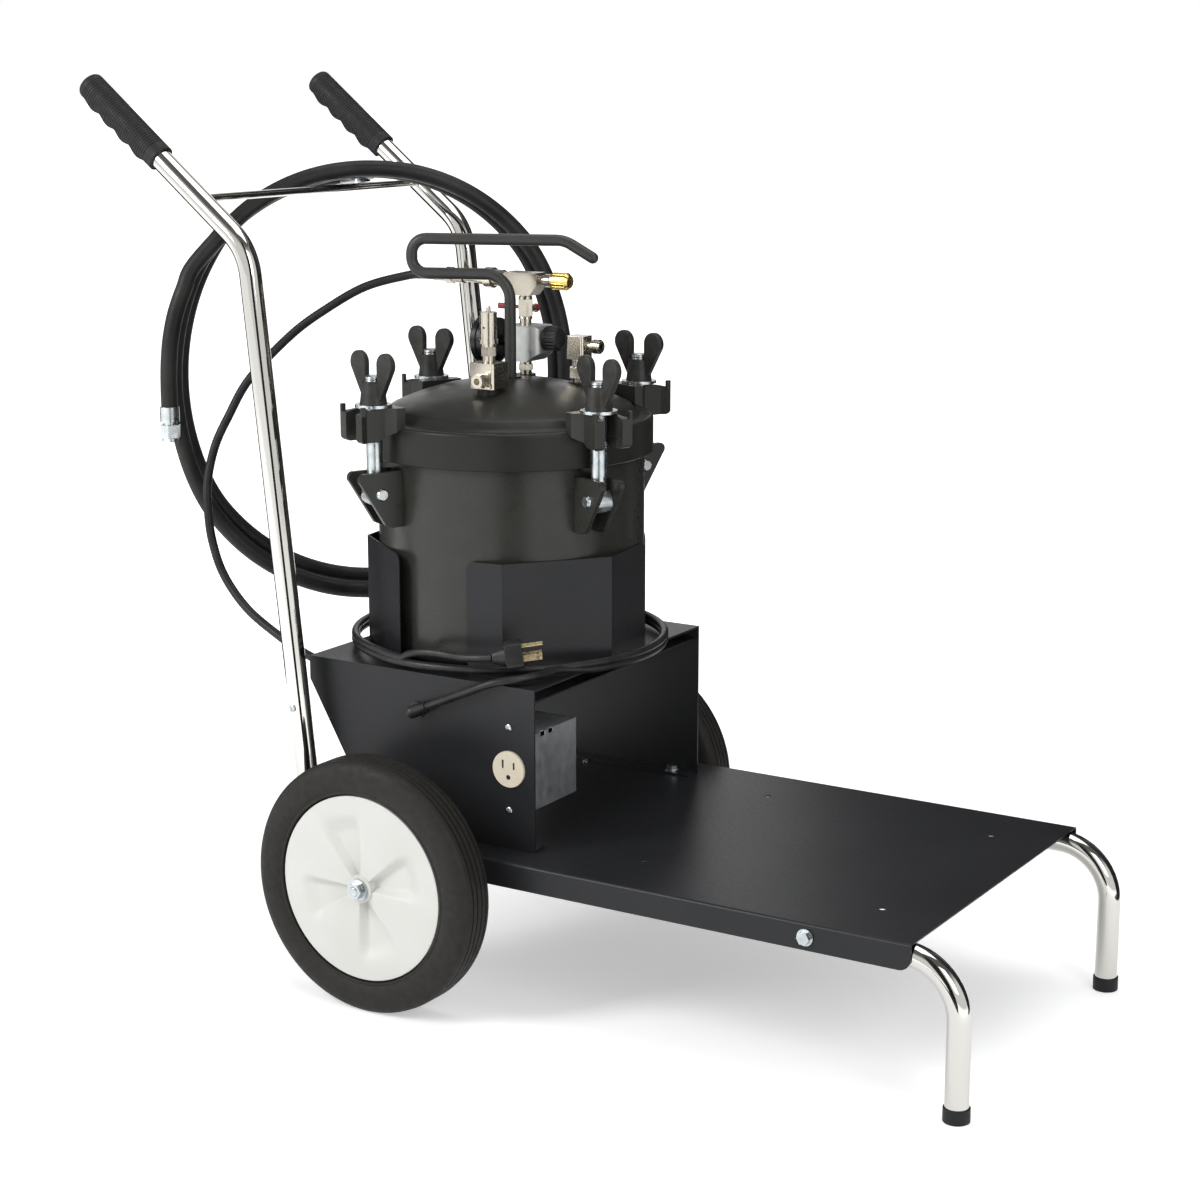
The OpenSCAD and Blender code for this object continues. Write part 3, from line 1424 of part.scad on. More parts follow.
module plug_blades() {
    face = 30;
    color("#b79b5e") at_plug() translate([face, 0, 0]) {
        for (y = [-1, 1]) translate([0, y * 6.35 - 0.75, -7]) difference() {
            cube([18, 1.5, 6.4]);
            translate([14, -1, 3.2]) rotate([-90, 0, 0]) cylinder(d = 2.6, h = 4, $fn = 24);
        }
        translate([0, 0, 7]) rotate([0, 90, 0]) cylinder(d = 4.8, h = 20);
    }
}

frame_tube_right();
frame_tube_left();
grips();
foot_caps();
cross_rod();
deck_tray();
fasteners();
axle();
axle_brackets();
tyre_right();
tyre_left();
hub_right();
hub_left();
riser_box();
device_box();
receptacle();
strain_relief();
power_coil();
power_tail();
plug_body();
plug_blades();
cradle_front();
cradle_rear();
tank_shell();
lid();
lid_gasket();
lid_yokes();
clamp_lugs();
clamp_pins();
swing_bolt_1();
swing_bolt_2();
swing_bolt_3();
swing_bolt_4();
clamp_washer_1();
clamp_washer_2();
clamp_washer_3();
clamp_washer_4();
wing_nut_1();
wing_nut_2();
wing_nut_3();
wing_nut_4();
lid_handle();
pipe_nipples();
regulator_body();
regulator_knob();
pressure_gauge();
ball_valve();
valve_lever();
manifold_tee();
brass_cap();
hose_coupler();
relief_block();
relief_valve();
relief_stem();
outlet_elbow();
air_hose();
air_inlet_fitting();
hose_coil();
hose_tail();
hose_end_fitting();
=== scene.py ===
"""Paint pressure pot on a hand cart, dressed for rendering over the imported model."""

import json
import math

import bmesh
import bpy
from mathutils import Matrix, Vector

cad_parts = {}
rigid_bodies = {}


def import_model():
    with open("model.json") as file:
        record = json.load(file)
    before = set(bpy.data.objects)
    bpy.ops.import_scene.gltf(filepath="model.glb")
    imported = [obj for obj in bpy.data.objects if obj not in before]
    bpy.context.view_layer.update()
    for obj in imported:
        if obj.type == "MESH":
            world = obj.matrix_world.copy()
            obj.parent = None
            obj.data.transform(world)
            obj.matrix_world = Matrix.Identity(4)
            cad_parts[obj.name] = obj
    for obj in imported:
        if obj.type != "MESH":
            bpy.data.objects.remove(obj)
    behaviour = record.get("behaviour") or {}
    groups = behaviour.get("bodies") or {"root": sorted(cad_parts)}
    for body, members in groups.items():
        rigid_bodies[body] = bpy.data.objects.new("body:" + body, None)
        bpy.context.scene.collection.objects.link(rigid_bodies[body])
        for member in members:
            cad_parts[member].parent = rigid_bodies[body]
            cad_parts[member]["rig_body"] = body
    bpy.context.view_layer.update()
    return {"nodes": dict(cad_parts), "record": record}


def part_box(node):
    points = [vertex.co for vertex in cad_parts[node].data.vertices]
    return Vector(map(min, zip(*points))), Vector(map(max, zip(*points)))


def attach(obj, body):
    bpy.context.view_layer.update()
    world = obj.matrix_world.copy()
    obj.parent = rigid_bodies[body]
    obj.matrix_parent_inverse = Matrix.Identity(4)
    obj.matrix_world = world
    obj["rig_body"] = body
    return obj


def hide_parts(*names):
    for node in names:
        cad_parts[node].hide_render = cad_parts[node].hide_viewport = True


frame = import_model()


# Studio: a paper floor that runs out into a white surround, with soft lamps to the left, in front
# and above. The camera stands to the cart's right and a little above it, with a fairly long lens.
def plain_finish(name, colour, roughness, metallic=0.0, gloss=0.5):
    """A principled material with its even values on its own sockets; gloss is its mirror share."""
    finish = bpy.data.materials.new(name)
    finish.use_nodes = True
    shader = finish.node_tree.nodes["Principled BSDF"]
    shader.inputs["Base Color"].default_value = (*colour, 1)
    shader.inputs["Roughness"].default_value = roughness
    shader.inputs["Metallic"].default_value = metallic
    shader.inputs["Specular IOR Level"].default_value = gloss
    return finish


def seen_directly(tree):
    """One for camera, mirror and glass rays, and nought for the rays that carry light."""
    ray = tree.nodes.new("ShaderNodeLightPath")
    seen = ray.outputs["Is Camera Ray"]
    for kind in ("Is Glossy Ray", "Is Transmission Ray"):
        either = tree.nodes.new("ShaderNodeMath")
        either.operation = "MAXIMUM"
        tree.links.new(seen, either.inputs[0])
        tree.links.new(ray.outputs[kind], either.inputs[1])
        seen = either.outputs[0]
    return seen


def in_range(tree, value, from_low, from_high, to_low, to_high, way="LINEAR"):
    """The value carried from one range to another."""
    spread = tree.nodes.new("ShaderNodeMapRange")
    spread.interpolation_type = way
    spread.inputs["From Min"].default_value = from_low
    spread.inputs["From Max"].default_value = from_high
    spread.inputs["To Min"].default_value = to_low
    spread.inputs["To Max"].default_value = to_high
    tree.links.new(value, spread.inputs["Value"])
    return spread.outputs["Result"]


def two_colours(tree, value, low, low_colour, high, high_colour):
    """One colour where the value is low, another where it is high."""
    ramp = tree.nodes.new("ShaderNodeValToRGB")
    ramp.color_ramp.elements[0].position = low
    ramp.color_ramp.elements[0].color = (*low_colour, 1)
    ramp.color_ramp.elements[1].position = high
    ramp.color_ramp.elements[1].color = (*high_colour, 1)
    tree.links.new(value, ramp.inputs["Fac"])
    return ramp.outputs["Color"]


def in_scene(name, data):
    """A new object for the data, linked into the scene."""
    placed = bpy.data.objects.new(name, data)
    bpy.context.scene.collection.objects.link(placed)
    return placed


def as_mesh(name, shape):
    """Turns a finished bmesh into a mesh and lets the bmesh go."""
    mesh = bpy.data.meshes.new(name)
    shape.to_mesh(mesh)
    shape.free()
    return mesh


def only(kind, made):
    """The vertices or the edges out of a list of mixed geometry."""
    return [g for g in made if isinstance(g, kind)]


camera_data = bpy.data.cameras.new("view_camera")
camera_data.lens = 73.75
camera_data.sensor_width = 36
camera_data.clip_end = 50
camera = in_scene("view_camera", camera_data)
camera.location = (1.2736, -2.057, 0.9192)
camera.rotation_euler = (math.radians(90 - 12.62), 0, math.radians(31.75))
bpy.context.scene.camera = camera

floor_shape = bmesh.new()
bmesh.ops.create_grid(floor_shape, x_segments=1, y_segments=1, size=30)
floor = in_scene("paper_floor", as_mesh("paper_floor", floor_shape))

# The paper keeps the cart's shadow close by and fades to plain white further out.
floor_paper = plain_finish("floor_paper", (0.90, 0.90, 0.90), 0.9)
floor.data.materials.append(floor_paper)
paper_tree = floor_paper.node_tree
floor_place = paper_tree.nodes.new("ShaderNodeTexCoord")
floor_distance = paper_tree.nodes.new("ShaderNodeVectorMath")
floor_distance.operation = "LENGTH"
paper_tree.links.new(floor_place.outputs["Object"], floor_distance.inputs[0])
paper_fade = in_range(paper_tree, floor_distance.outputs["Value"], 0.55, 1.5, 0.42, 1.0,
                      "SMOOTHSTEP")
paper_seen = paper_tree.nodes.new("ShaderNodeMath")
paper_seen.operation = "MULTIPLY"
paper_tree.links.new(paper_fade, paper_seen.inputs[0])
paper_tree.links.new(seen_directly(paper_tree), paper_seen.inputs[1])
paper_glow = paper_tree.nodes.new("ShaderNodeEmission")
paper_tree.links.new(paper_seen.outputs[0], paper_glow.inputs["Strength"])
paper_sum = paper_tree.nodes.new("ShaderNodeAddShader")
paper_tree.links.new(paper_tree.nodes["Principled BSDF"].outputs[0], paper_sum.inputs[0])
paper_tree.links.new(paper_glow.outputs[0], paper_sum.inputs[1])
paper_tree.links.new(paper_sum.outputs[0],
                     paper_tree.nodes["Material Output"].inputs["Surface"])

surround = bpy.data.worlds.new("studio_surround")
bpy.context.scene.world = surround
surround.use_nodes = True
sky = surround.node_tree
sky.nodes.clear()
direction = sky.nodes.new("ShaderNodeTexCoord")
height = sky.nodes.new("ShaderNodeSeparateXYZ")
sky.links.new(direction.outputs["Generated"], height.inputs[0])
soft_light = sky.nodes.new("ShaderNodeBackground")
room_colour = two_colours(sky, height.outputs["Z"], 0.0, (0.34, 0.33, 0.31),
                          0.75, (0.92, 0.93, 0.95))
sky.links.new(room_colour, soft_light.inputs["Color"])
soft_light.inputs["Strength"].default_value = 0.46
# The paper backdrop is white up to shoulder height and gives way to the dim room above it.
white_paper = sky.nodes.new("ShaderNodeBackground")
paper_edge = two_colours(sky, height.outputs["Z"], 0.50, (1, 1, 1), 0.72, (0.16, 0.16, 0.16))
sky.links.new(paper_edge, white_paper.inputs["Color"])
white_paper.inputs["Strength"].default_value = 1.0
choose = sky.nodes.new("ShaderNodeMixShader")
sky.links.new(seen_directly(sky), choose.inputs["Fac"])
sky.links.new(soft_light.outputs[0], choose.inputs[1])
sky.links.new(white_paper.outputs[0], choose.inputs[2])
world_out = sky.nodes.new("ShaderNodeOutputWorld")
sky.links.new(choose.outputs[0], world_out.inputs["Surface"])


def softbox(name, place, target, width, tall, power):
    """A large soft lamp that points at the target."""
    lamp = bpy.data.lights.new(name, "AREA")
    lamp.shape = "RECTANGLE"
    lamp.size = width
    lamp.size_y = tall
    lamp.energy = power
    holder = in_scene(name, lamp)
    holder.location = place
    holder.rotation_euler = (Vector(target) - Vector(place)).to_track_quat("-Z", "Y").to_euler()


softbox("softbox_left", (-1.7, -2.8, 2.3), (0, 0, 0.4), 1.1, 2.2, 86)
softbox("softbox_front", (2.6, -1.6, 1.9), (0, 0, 0.4), 1.2, 2.0, 30)
softbox("softbox_top", (0.2, 0.3, 3.0), (0, 0, 0.3), 2.2, 1.8, 34)
bpy.context.scene.view_settings.view_transform = "Standard"

# Black cards stand round the set out of sight and give the bright metal its dark lines. Each
# has a foot that lies on the floor towards the cart.
card_black = plain_finish("card_black", (0.012, 0.012, 0.013), 0.9)
card_middle = Vector((-0.2, 0, 0))
card_distance = 1.7
card_high = 2.4


def black_card(name, bearing, width, foot):
    """A card that faces the cart; bearing is in degrees round from the cart's front."""
    shape = bmesh.new()
    bmesh.ops.create_grid(shape, x_segments=1, y_segments=1, size=0.5)
    bmesh.ops.scale(shape, vec=(foot, width, 1), verts=shape.verts)
    bmesh.ops.translate(shape, vec=(card_distance - foot / 2, 0, 0.002), verts=shape.verts)
    far_edge = [e for e in shape.edges
                if all(v.co.x > card_distance - 0.001 for v in e.verts)]
    raised = bmesh.ops.extrude_edge_only(shape, edges=far_edge)["geom"]
    bmesh.ops.translate(shape, vec=(0, 0, card_high), verts=only(bmesh.types.BMVert, raised))
    bmesh.ops.transform(
        shape, verts=shape.verts,
        matrix=Matrix.Translation(card_middle) @ Matrix.Rotation(math.radians(bearing), 4, "Z"))
    card = in_scene(name, as_mesh(name, shape))
    card.data.materials.append(card_black)
    card.visible_camera = False
    card.visible_diffuse = False
    card.visible_shadow = False
    card.visible_transmission = False


black_card("card_by_lens", -53, 0.62, 0.7)
black_card("card_front_right", 38, 1.5, 0.7)
black_card("card_far_right", 84, 1.3, 0.7)
black_card("card_far_left", 163, 1.2, 0.7)


# Power cord: three-core rubber flex. It comes out of the strain relief, climbs over the riser's
# edge, winds twice round the cradle and ends in a moulded plug with two brass blades and a pin.
deck_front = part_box("deck_tray")[1].x


def behind_deck(*route):
    """Points given in millimetres from the deck's front edge, as points in metres."""
    return [Vector((deck_front + x / 1000, y / 1000, z / 1000)) for x, y, z in route]


def smooth_line(points, steps):
    """Points on the smooth curve that passes through the given ones."""
    line = []
    for i in range(len(points) - 1):
        a = points[max(i - 1, 0)]
        b = points[i]
        c = points[i + 1]
        d = points[min(i + 2, len(points) - 1)]
        for k in range(steps):
            t = k / steps
            line.append(0.5 * (2 * b + (c - a) * t + (2 * a - 5 * b + 4 * c - d) * t * t
                               + (3 * b - a - 3 * c + d) * t * t * t))
    line.append(points[-1])
    return line


def flexible(name, line, diameter, finish, rib=1.0):
    """A curve of one open spline with a round section; rib narrows every other point."""
    curve = bpy.data.curves.new(name, "CURVE")
    curve.dimensions = "3D"
    curve.bevel_depth = diameter / 2
    curve.bevel_resolution = 5
    curve.use_fill_caps = True
    spline = curve.splines.new("POLY")
    spline.points.add(len(line) - 1)
    for i, (point, place) in enumerate(zip(spline.points, line)):
        point.co = (*place, 1)
        point.radius = rib if i % 2 else 1.0
    spline.use_smooth = True
    curve.materials.append(finish)
    return in_scene(name, curve)


def surface_noise(tree, scale, detail):
    """Noise over the piece's own coordinates, from nought to one."""
    place = tree.nodes.new("ShaderNodeTexCoord")
    noise = tree.nodes.new("ShaderNodeTexNoise")
    noise.inputs["Scale"].default_value = scale
    noise.inputs["Detail"].default_value = detail
    tree.links.new(place.outputs["Object"], noise.inputs["Vector"])
    return noise.outputs["Fac"]


def speckle(finish, scale, low, high, detail=4.0):
    """Roughness that varies between two values in a fine pattern."""
    tree = finish.node_tree
    spread = in_range(tree, surface_noise(tree, scale, detail), 0.3, 0.7, low, high)
    tree.links.new(spread, tree.nodes["Principled BSDF"].inputs["Roughness"])


def grain(finish, scale, depth):
    """Fine relief over the whole surface; depth is in metres."""
    tree = finish.node_tree
    bump = tree.nodes.new("ShaderNodeBump")
    bump.inputs["Distance"].default_value = depth
    tree.links.new(surface_noise(tree, scale, 3.0), bump.inputs["Height"])
    tree.links.new(bump.outputs["Normal"], tree.nodes["Principled BSDF"].inputs["Normal"])


def mottle(finish, scale, colour_a, colour_b):
    """Base colour that drifts between two colours."""
    tree = finish.node_tree
    drift = two_colours(tree, surface_noise(tree, scale, 5.0), 0.35, colour_a, 0.65, colour_b)
    tree.links.new(drift, tree.nodes["Principled BSDF"].inputs["Base Color"])


def bevelled(shape, edges, offset, segments):
    """Rounds the given edges."""
    bmesh.ops.bevel(shape, geom=edges, offset=offset, segments=segments, profile=0.5,
                    affect="EDGES", clamp_overlap=True, material=-1)


def new_piece(name, shape, finish, body, slot_name, *nodes, angle=30):
    """Turns a finished bmesh into a smooth-shaded piece that stands for the named CAD nodes."""
    mesh = as_mesh(name, shape)
    for polygon in mesh.polygons:
        polygon.use_smooth = True
    mesh.set_sharp_from_angle(angle=math.radians(angle))
    mesh.materials.append(finish)
    piece = in_scene(name, mesh)
    even = piece.modifiers.new("even_shading", "WEIGHTED_NORMAL")
    even.weight = 80
    even.keep_sharp = True
    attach(piece, body)
    if nodes:
        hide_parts(*nodes)
    return piece


# Edges sharper than this many degrees are eased, in this many steps.
sharp_angle = 32
edge_steps = 2


def eased_copy(node, finish, edge=0.0, corner=0.0):
    """Takes a CAD node's shape over, with its edges eased; corner rounds a sheet's top ends."""
    shape = bmesh.new()
    shape.from_mesh(frame["nodes"][node].data)
    bmesh.ops.remove_doubles(shape, verts=shape.verts, dist=0.000002)
    if edge:
        bmesh.ops.dissolve_limit(shape, angle_limit=math.radians(0.6), verts=shape.verts,
                                 edges=shape.edges)
        top = max(v.co.z for v in shape.verts)
        ends = [e for e in shape.edges if corner and len(e.link_faces) == 2
                and all(v.co.z > top - 0.0001 for v in e.verts) and e.calc_length() < 0.004
                and e.calc_face_angle() > math.radians(60)]
        if ends:
            bevelled(shape, ends, corner, 6)
        sharp = [e for e in shape.edges
                 if len(e.link_faces) == 2 and e.calc_face_angle() > math.radians(sharp_angle)]
        bevelled(shape, sharp, edge, edge_steps)
    body = frame["nodes"][node]["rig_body"]
    slot_name = next(s["material_slot"] for s in frame["record"]["subparts"]
                     if s["node"] == node)
    return new_piece(node + "_finished", shape, finish, body, slot_name, node,
                     angle=sharp_angle)


flex_rubber = plain_finish("flex_rubber", (0.016, 0.016, 0.017), 0.36, gloss=0.3)
mottle(flex_rubber, 45, (0.013, 0.013, 0.014), (0.024, 0.024, 0.023))
speckle(flex_rubber, 260, 0.30, 0.46)
grain(flex_rubber, 900, 0.00004)

cord_width = 0.008
cord_over_edge = behind_deck(
    (-534, -170, 292), (-518, -170.5, 299), (-500, -171, 307), (-482, -171, 315),
    (-464, -169, 323), (-447, -163, 328), (-434, -152, 330), (-427, -139, 331), (-424, -124, 331),
    (-421, -108, 331))
cord_to_plug = behind_deck(
    (-462, -161.5, 349), (-476, -165, 347.5), (-492, -165.5, 346), (-510, -164, 345.5),
    (-528, -163.5, 345.5), (-546, -164, 344), (-560, -163, 340), (-572, -161.5, 335))
ring_low, ring_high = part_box("power_coil")
ring_centre = (ring_low + ring_high) / 2
cord_inset = 0.0048
cord_seat = 0.0042
cord_sway = 0.0004
ring_radius = (ring_high.x - ring_low.x) / 2 - cord_inset
first_turn = math.atan2(cord_over_edge[-1].y - ring_centre.y, cord_over_edge[-1].x - ring_centre.x)
last_turn = math.atan2(cord_to_plug[-1].y - ring_centre.y, cord_to_plug[-1].x - ring_centre.x)
winding = last_turn - first_turn + 4 * math.pi
if winding > 3.7 * math.pi:
    winding -= 2 * math.pi
wound = []
wound_points = 46
for step in range(1, wound_points + 1):
    share = step / (wound_points + 1)
    turn = first_turn + winding * share
    lift = ring_low.z + cord_seat + (ring_high.z - ring_low.z - 2 * cord_seat) * share
    reach = ring_radius + cord_sway * math.sin(3 * turn)
    wound.append(Vector((ring_centre.x + reach * math.cos(turn),
                         ring_centre.y + reach * math.sin(turn), lift)))
blade_brass = plain_finish("blade_brass", (0.56, 0.45, 0.26), 0.32, 1.0)
mottle(blade_brass, 300, (0.46, 0.36, 0.2), (0.66, 0.55, 0.34))
speckle(blade_brass, 500, 0.24, 0.42)
cord_ends = [eased_copy("strain_relief", flex_rubber, 0.0003),
             eased_copy("plug_body", flex_rubber, 0.001),
             eased_copy("plug_blades", blade_brass, 0.0002)]
power_line = smooth_line(cord_over_edge + wound + cord_to_plug[::-1], 4)
power_cord = flexible("power_cord", power_line, cord_width, flex_rubber)
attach(power_cord, "cart")
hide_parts("power_coil", "power_tail")


# Fluid hose: a thick rubber hose with a crimped ferrule and a swivel nut at each end. It hangs
# over the cross rod in two tall turns; one end lies on the rod and the other hangs down in front.
rod_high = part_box("cross_rod")[1]
coil_turn = math.radians(43.7)
coil_along = Vector((math.cos(coil_turn), math.sin(coil_turn), 0))
coil_out = Vector((math.sin(coil_turn), -math.cos(coil_turn), 0))
hose_width = 0.0175
coil_inside = 0.195
coil_straight = 0.034
coil_drop = 0.002
coil_behind = 0.7704
coil_left = 0.0652
rod_off_middle = 0.0452
hose_inner_line = coil_inside + hose_width / 2 + 0.0002
coil_middle = Vector((deck_front - coil_behind, coil_left,
                      rod_high.z + 0.0003 - coil_straight / 2 + coil_drop
                      - math.sqrt(coil_inside ** 2 - rod_off_middle ** 2)))


def on_coil(turn, spread, out):
    """A point of the tall loop; turn is measured from its right side, upwards."""
    round_part = Vector((0, 0, math.sin(turn))) + coil_along * math.cos(turn)
    rise = coil_straight / 2 * max(-1, min(1, 2 * math.sin(turn))) - coil_drop
    return (coil_middle + round_part * (hose_inner_line + spread) + Vector((0, 0, rise))
            + coil_out * out)


def beside_coil(*route):
    """Points given in millimetres along the loop's plane, out of it, and above the floor."""
    places = []
    for along, out, high in route:
        place = coil_middle + coil_along * along / 1000 + coil_out * out / 1000
        places.append(Vector((place.x, place.y, high / 1000)))
    return places


def eased(value, low, high):
    """Nought below low, one above high, with a smooth way between."""
    share = max(0, min(1, (value - low) / (high - low)))
    return share * share * (3 - 2 * share)


hose_rubber = plain_finish("hose_rubber", (0.017, 0.017, 0.018), 0.42, gloss=0.2)
mottle(hose_rubber, 22, (0.013, 0.013, 0.014), (0.027, 0.026, 0.025))
speckle(hose_rubber, 120, 0.34, 0.52)
grain(hose_rubber, 700, 0.00006)

back_end = beside_coil(
    (-157, -12, 725), (-140, -16, 742), (-121, -20, 757), (-103, -24, 767.5), (-84, -27, 775),
    (-66, -28.5, 780.5), (-47, -29, 784.6), (-28, -29, 787.3))
front_end = beside_coil(
    (-186, 24, 700), (-198, 27, 676), (-208, 29, 650), (-214, 30, 624), (-217, 30, 598),
    (-218, 30, 574), (-218, 30, 552))
zinc_plate = plain_finish("zinc_plate", (0.62, 0.66, 0.68), 0.26, 1.0)
mottle(zinc_plate, 90, (0.40, 0.44, 0.46), (0.55, 0.58, 0.58))
speckle(zinc_plate, 140, 0.2, 0.36)
hose_fittings = eased_copy("hose_end_fitting", zinc_plate, 0.0004)

hanging = []
# The second turn lies in front of the first and a little wider, and its end comes forward.
first_angle = 150
last_angle = 132 + 720
angle_step = 9
turn_gap = 0.0178
for angle in range(first_angle, last_angle + 1, angle_step):
    turn = math.radians(angle)
    second = eased(angle, 455, 505)
    side = abs(math.cos(turn))
    low = max(0, -math.sin(turn))
    out = -turn_gap / 2 + turn_gap * second + 0.010 * eased(angle, 815, 870)
    spread = second * (0.0015 + 0.0060 * side + 0.0110 * low * low)
    hanging.append(on_coil(turn, spread, out))
hose_line = smooth_line(back_end[::-1] + hanging + front_end, 5)
fluid_hose = flexible("fluid_hose", hose_line, hose_width, hose_rubber)
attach(fluid_hose, "cart")
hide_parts("hose_coil", "hose_tail")


# Air hose: a thin rubber hose, finely ringed over its whole length, from the manifold's coupler
# down in a long bow to an elbow fitting under the riser's top plate.
def evenly(line, gap):
    """Points on the line at an even gap."""
    spots = [line[0]]
    carried = 0.0
    for p, q in zip(line, line[1:]):
        length = (q - p).length
        at = gap - carried
        while at < length:
            spots.append(p.lerp(q, at / length))
            at += gap
        carried = length - (at - gap)
    return spots


air_route = behind_deck(
    (-666, 40, 690), (-684, 40, 690), (-702, 38, 688), (-742, 20, 676), (-778, 0, 653),
    (-810, -22, 625), (-838, -58, 581), (-854, -76, 541), (-863, -88, 511), (-866, -98, 476),
    (-862, -104, 446), (-854, -108, 413), (-836, -112, 379), (-803, -116, 348),
    (-760, -120, 326), (-726, -126, 315), (-700, -130, 309), (-680, -130, 306), (-662, -130, 306))
air_rubber = plain_finish("air_rubber", (0.014, 0.014, 0.015), 0.4, gloss=0.22)
mottle(air_rubber, 60, (0.011, 0.011, 0.012), (0.022, 0.022, 0.021))
speckle(air_rubber, 300, 0.34, 0.5)
air_width = 0.0095
air_line = evenly(smooth_line(air_route, 8), 0.0016)
air_line.append(air_route[-1])
air_hose_run = flexible("air_hose_run", air_line, air_width, air_rubber, rib=0.94)
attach(air_hose_run, "cart")
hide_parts("air_hose")


# Side tubes: 7/8 inch steel tube, bent cold on a former and chrome plated. Each is one length
# from the grip down the handle, under the deck and into the front leg.
chrome_plate = plain_finish("chrome_plate", (0.56, 0.55, 0.52), 0.06, 1.0)
speckle(chrome_plate, 35, 0.04, 0.10, 6)

tube_width = 0.0222
rail_high = 0.1463
leg_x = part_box("frame_tube_right")[1].x - tube_width / 2
tube_side = 0.184
tube_end_high = 0.0032
handle_lean = math.radians(6.2)
handle_rise = math.radians(38.4)
handle_foot_x = deck_front - 0.667
knee_high = 0.7288
knee = Vector((handle_foot_x - (knee_high - rail_high) * math.tan(handle_lean), 0, knee_high))
upper_reach = 0.2497
rail_bend = 0.054
knee_bend = 0.06


def bent_tube(side):
    """Sweeps a ring of points: straight runs by extruding, bends by spinning."""
    y = side * tube_side
    shape = bmesh.new()
    bmesh.ops.create_circle(shape, segments=40, radius=tube_width / 2,
                            matrix=Matrix.Translation((leg_x, y, tube_end_high)))
    rim = list(shape.edges)
    bottom = rim

    def run(edges, step):
        made = bmesh.ops.extrude_edge_only(shape, edges=edges)["geom"]
        bmesh.ops.translate(shape, vec=step, verts=only(bmesh.types.BMVert, made))
        return [e for e in only(bmesh.types.BMEdge, made) if all(v in made for v in e.verts)]

    def bend(edges, centre, angle, steps):
        made = bmesh.ops.spin(shape, geom=edges, cent=centre, axis=(0, 1, 0), angle=angle,
                              steps=steps, use_merge=False, use_duplicate=False)
        return only(bmesh.types.BMEdge, made["geom_last"])

    quarter = math.pi / 2
    rim = run(rim, (0, 0, rail_high - rail_bend - tube_end_high))
    rim = bend(rim, (leg_x - rail_bend, y, rail_high - rail_bend), -quarter, 14)
    turn_up = quarter - handle_lean
    back = rail_bend * math.tan(turn_up / 2)
    rim = run(rim, (handle_foot_x + back - (leg_x - rail_bend), 0, 0))
    rim = bend(rim, (handle_foot_x + back, y, rail_high + rail_bend), turn_up, 14)
    handle = Vector((-math.sin(handle_lean), 0, math.cos(handle_lean)))
    upper = Vector((-math.cos(handle_rise), 0, math.sin(handle_rise)))
    knee_turn = quarter - handle_lean - handle_rise
    ease = knee_bend * math.tan(knee_turn / 2)
    handle_run = (knee - Vector((handle_foot_x, 0, rail_high))).length - back - ease
    rim = run(rim, handle * handle_run)
    start = Vector((knee.x, y, knee.z)) - handle * ease
    inward = Vector((-handle.z, 0, handle.x))
    rim = bend(rim, start + inward * knee_bend, -knee_turn, 10)
    rim = run(rim, upper * (upper_reach - ease))
    bmesh.ops.holes_fill(shape, edges=rim, sides=0)
    bmesh.ops.holes_fill(shape, edges=bottom, sides=0)
    bmesh.ops.remove_doubles(shape, verts=shape.verts, dist=0.00001)
    bmesh.ops.recalc_face_normals(shape, faces=shape.faces)
    return shape


for side, word in ((-1, "right"), (1, "left")):
    new_piece(f"side_tube_{word}", bent_tube(side), chrome_plate, "cart", "chrome_tube",
              f"frame_tube_{word}")


# Hand grips: moulded black rubber with fine rings and four finger swells, pushed over the
# handles' ends. Foot caps: plain moulded cups of the same rubber, pushed on the legs' ends.
def turned_shape(profile, steps, closed=True):
    """Spins a profile of radius and height once round the Z axis."""
    shape = bmesh.new()
    chain = [shape.verts.new((r, 0, z)) for r, z in profile]
    ends = chain[1:] + chain[:1] if closed else chain[1:]
    edges = [shape.edges.new(pair) for pair in zip(chain, ends)]
    bmesh.ops.spin(shape, geom=chain + edges, cent=(0, 0, 0), axis=(0, 0, 1),
                   angle=2 * math.pi, steps=steps, use_merge=True, use_duplicate=False)
    bmesh.ops.remove_doubles(shape, verts=shape.verts, dist=0.00001)
    return shape


def set_down(shape, place, angle=0.0, axis="Z"):
    """Turns a shape about an axis, moves it to its place and points its normals outwards."""
    bmesh.ops.transform(shape, verts=shape.verts,
                        matrix=Matrix.Translation(place) @ Matrix.Rotation(angle, 4, axis))
    bmesh.ops.recalc_face_normals(shape, faces=shape.faces)
    return shape


grip_rubber = plain_finish("grip_rubber", (0.015, 0.015, 0.016), 0.55, gloss=0.25)
speckle(grip_rubber, 150, 0.48, 0.66)
grain(grip_rubber, 500, 0.00008)
grip_long = 0.117
grip_width = 0.028
grip_wall = 0.004
grip_corner = 0.005
ring_count = 34
ring_deep = 0.0005
collar = 0.009
finger_gap = 0.024
swell_high = 0.0036


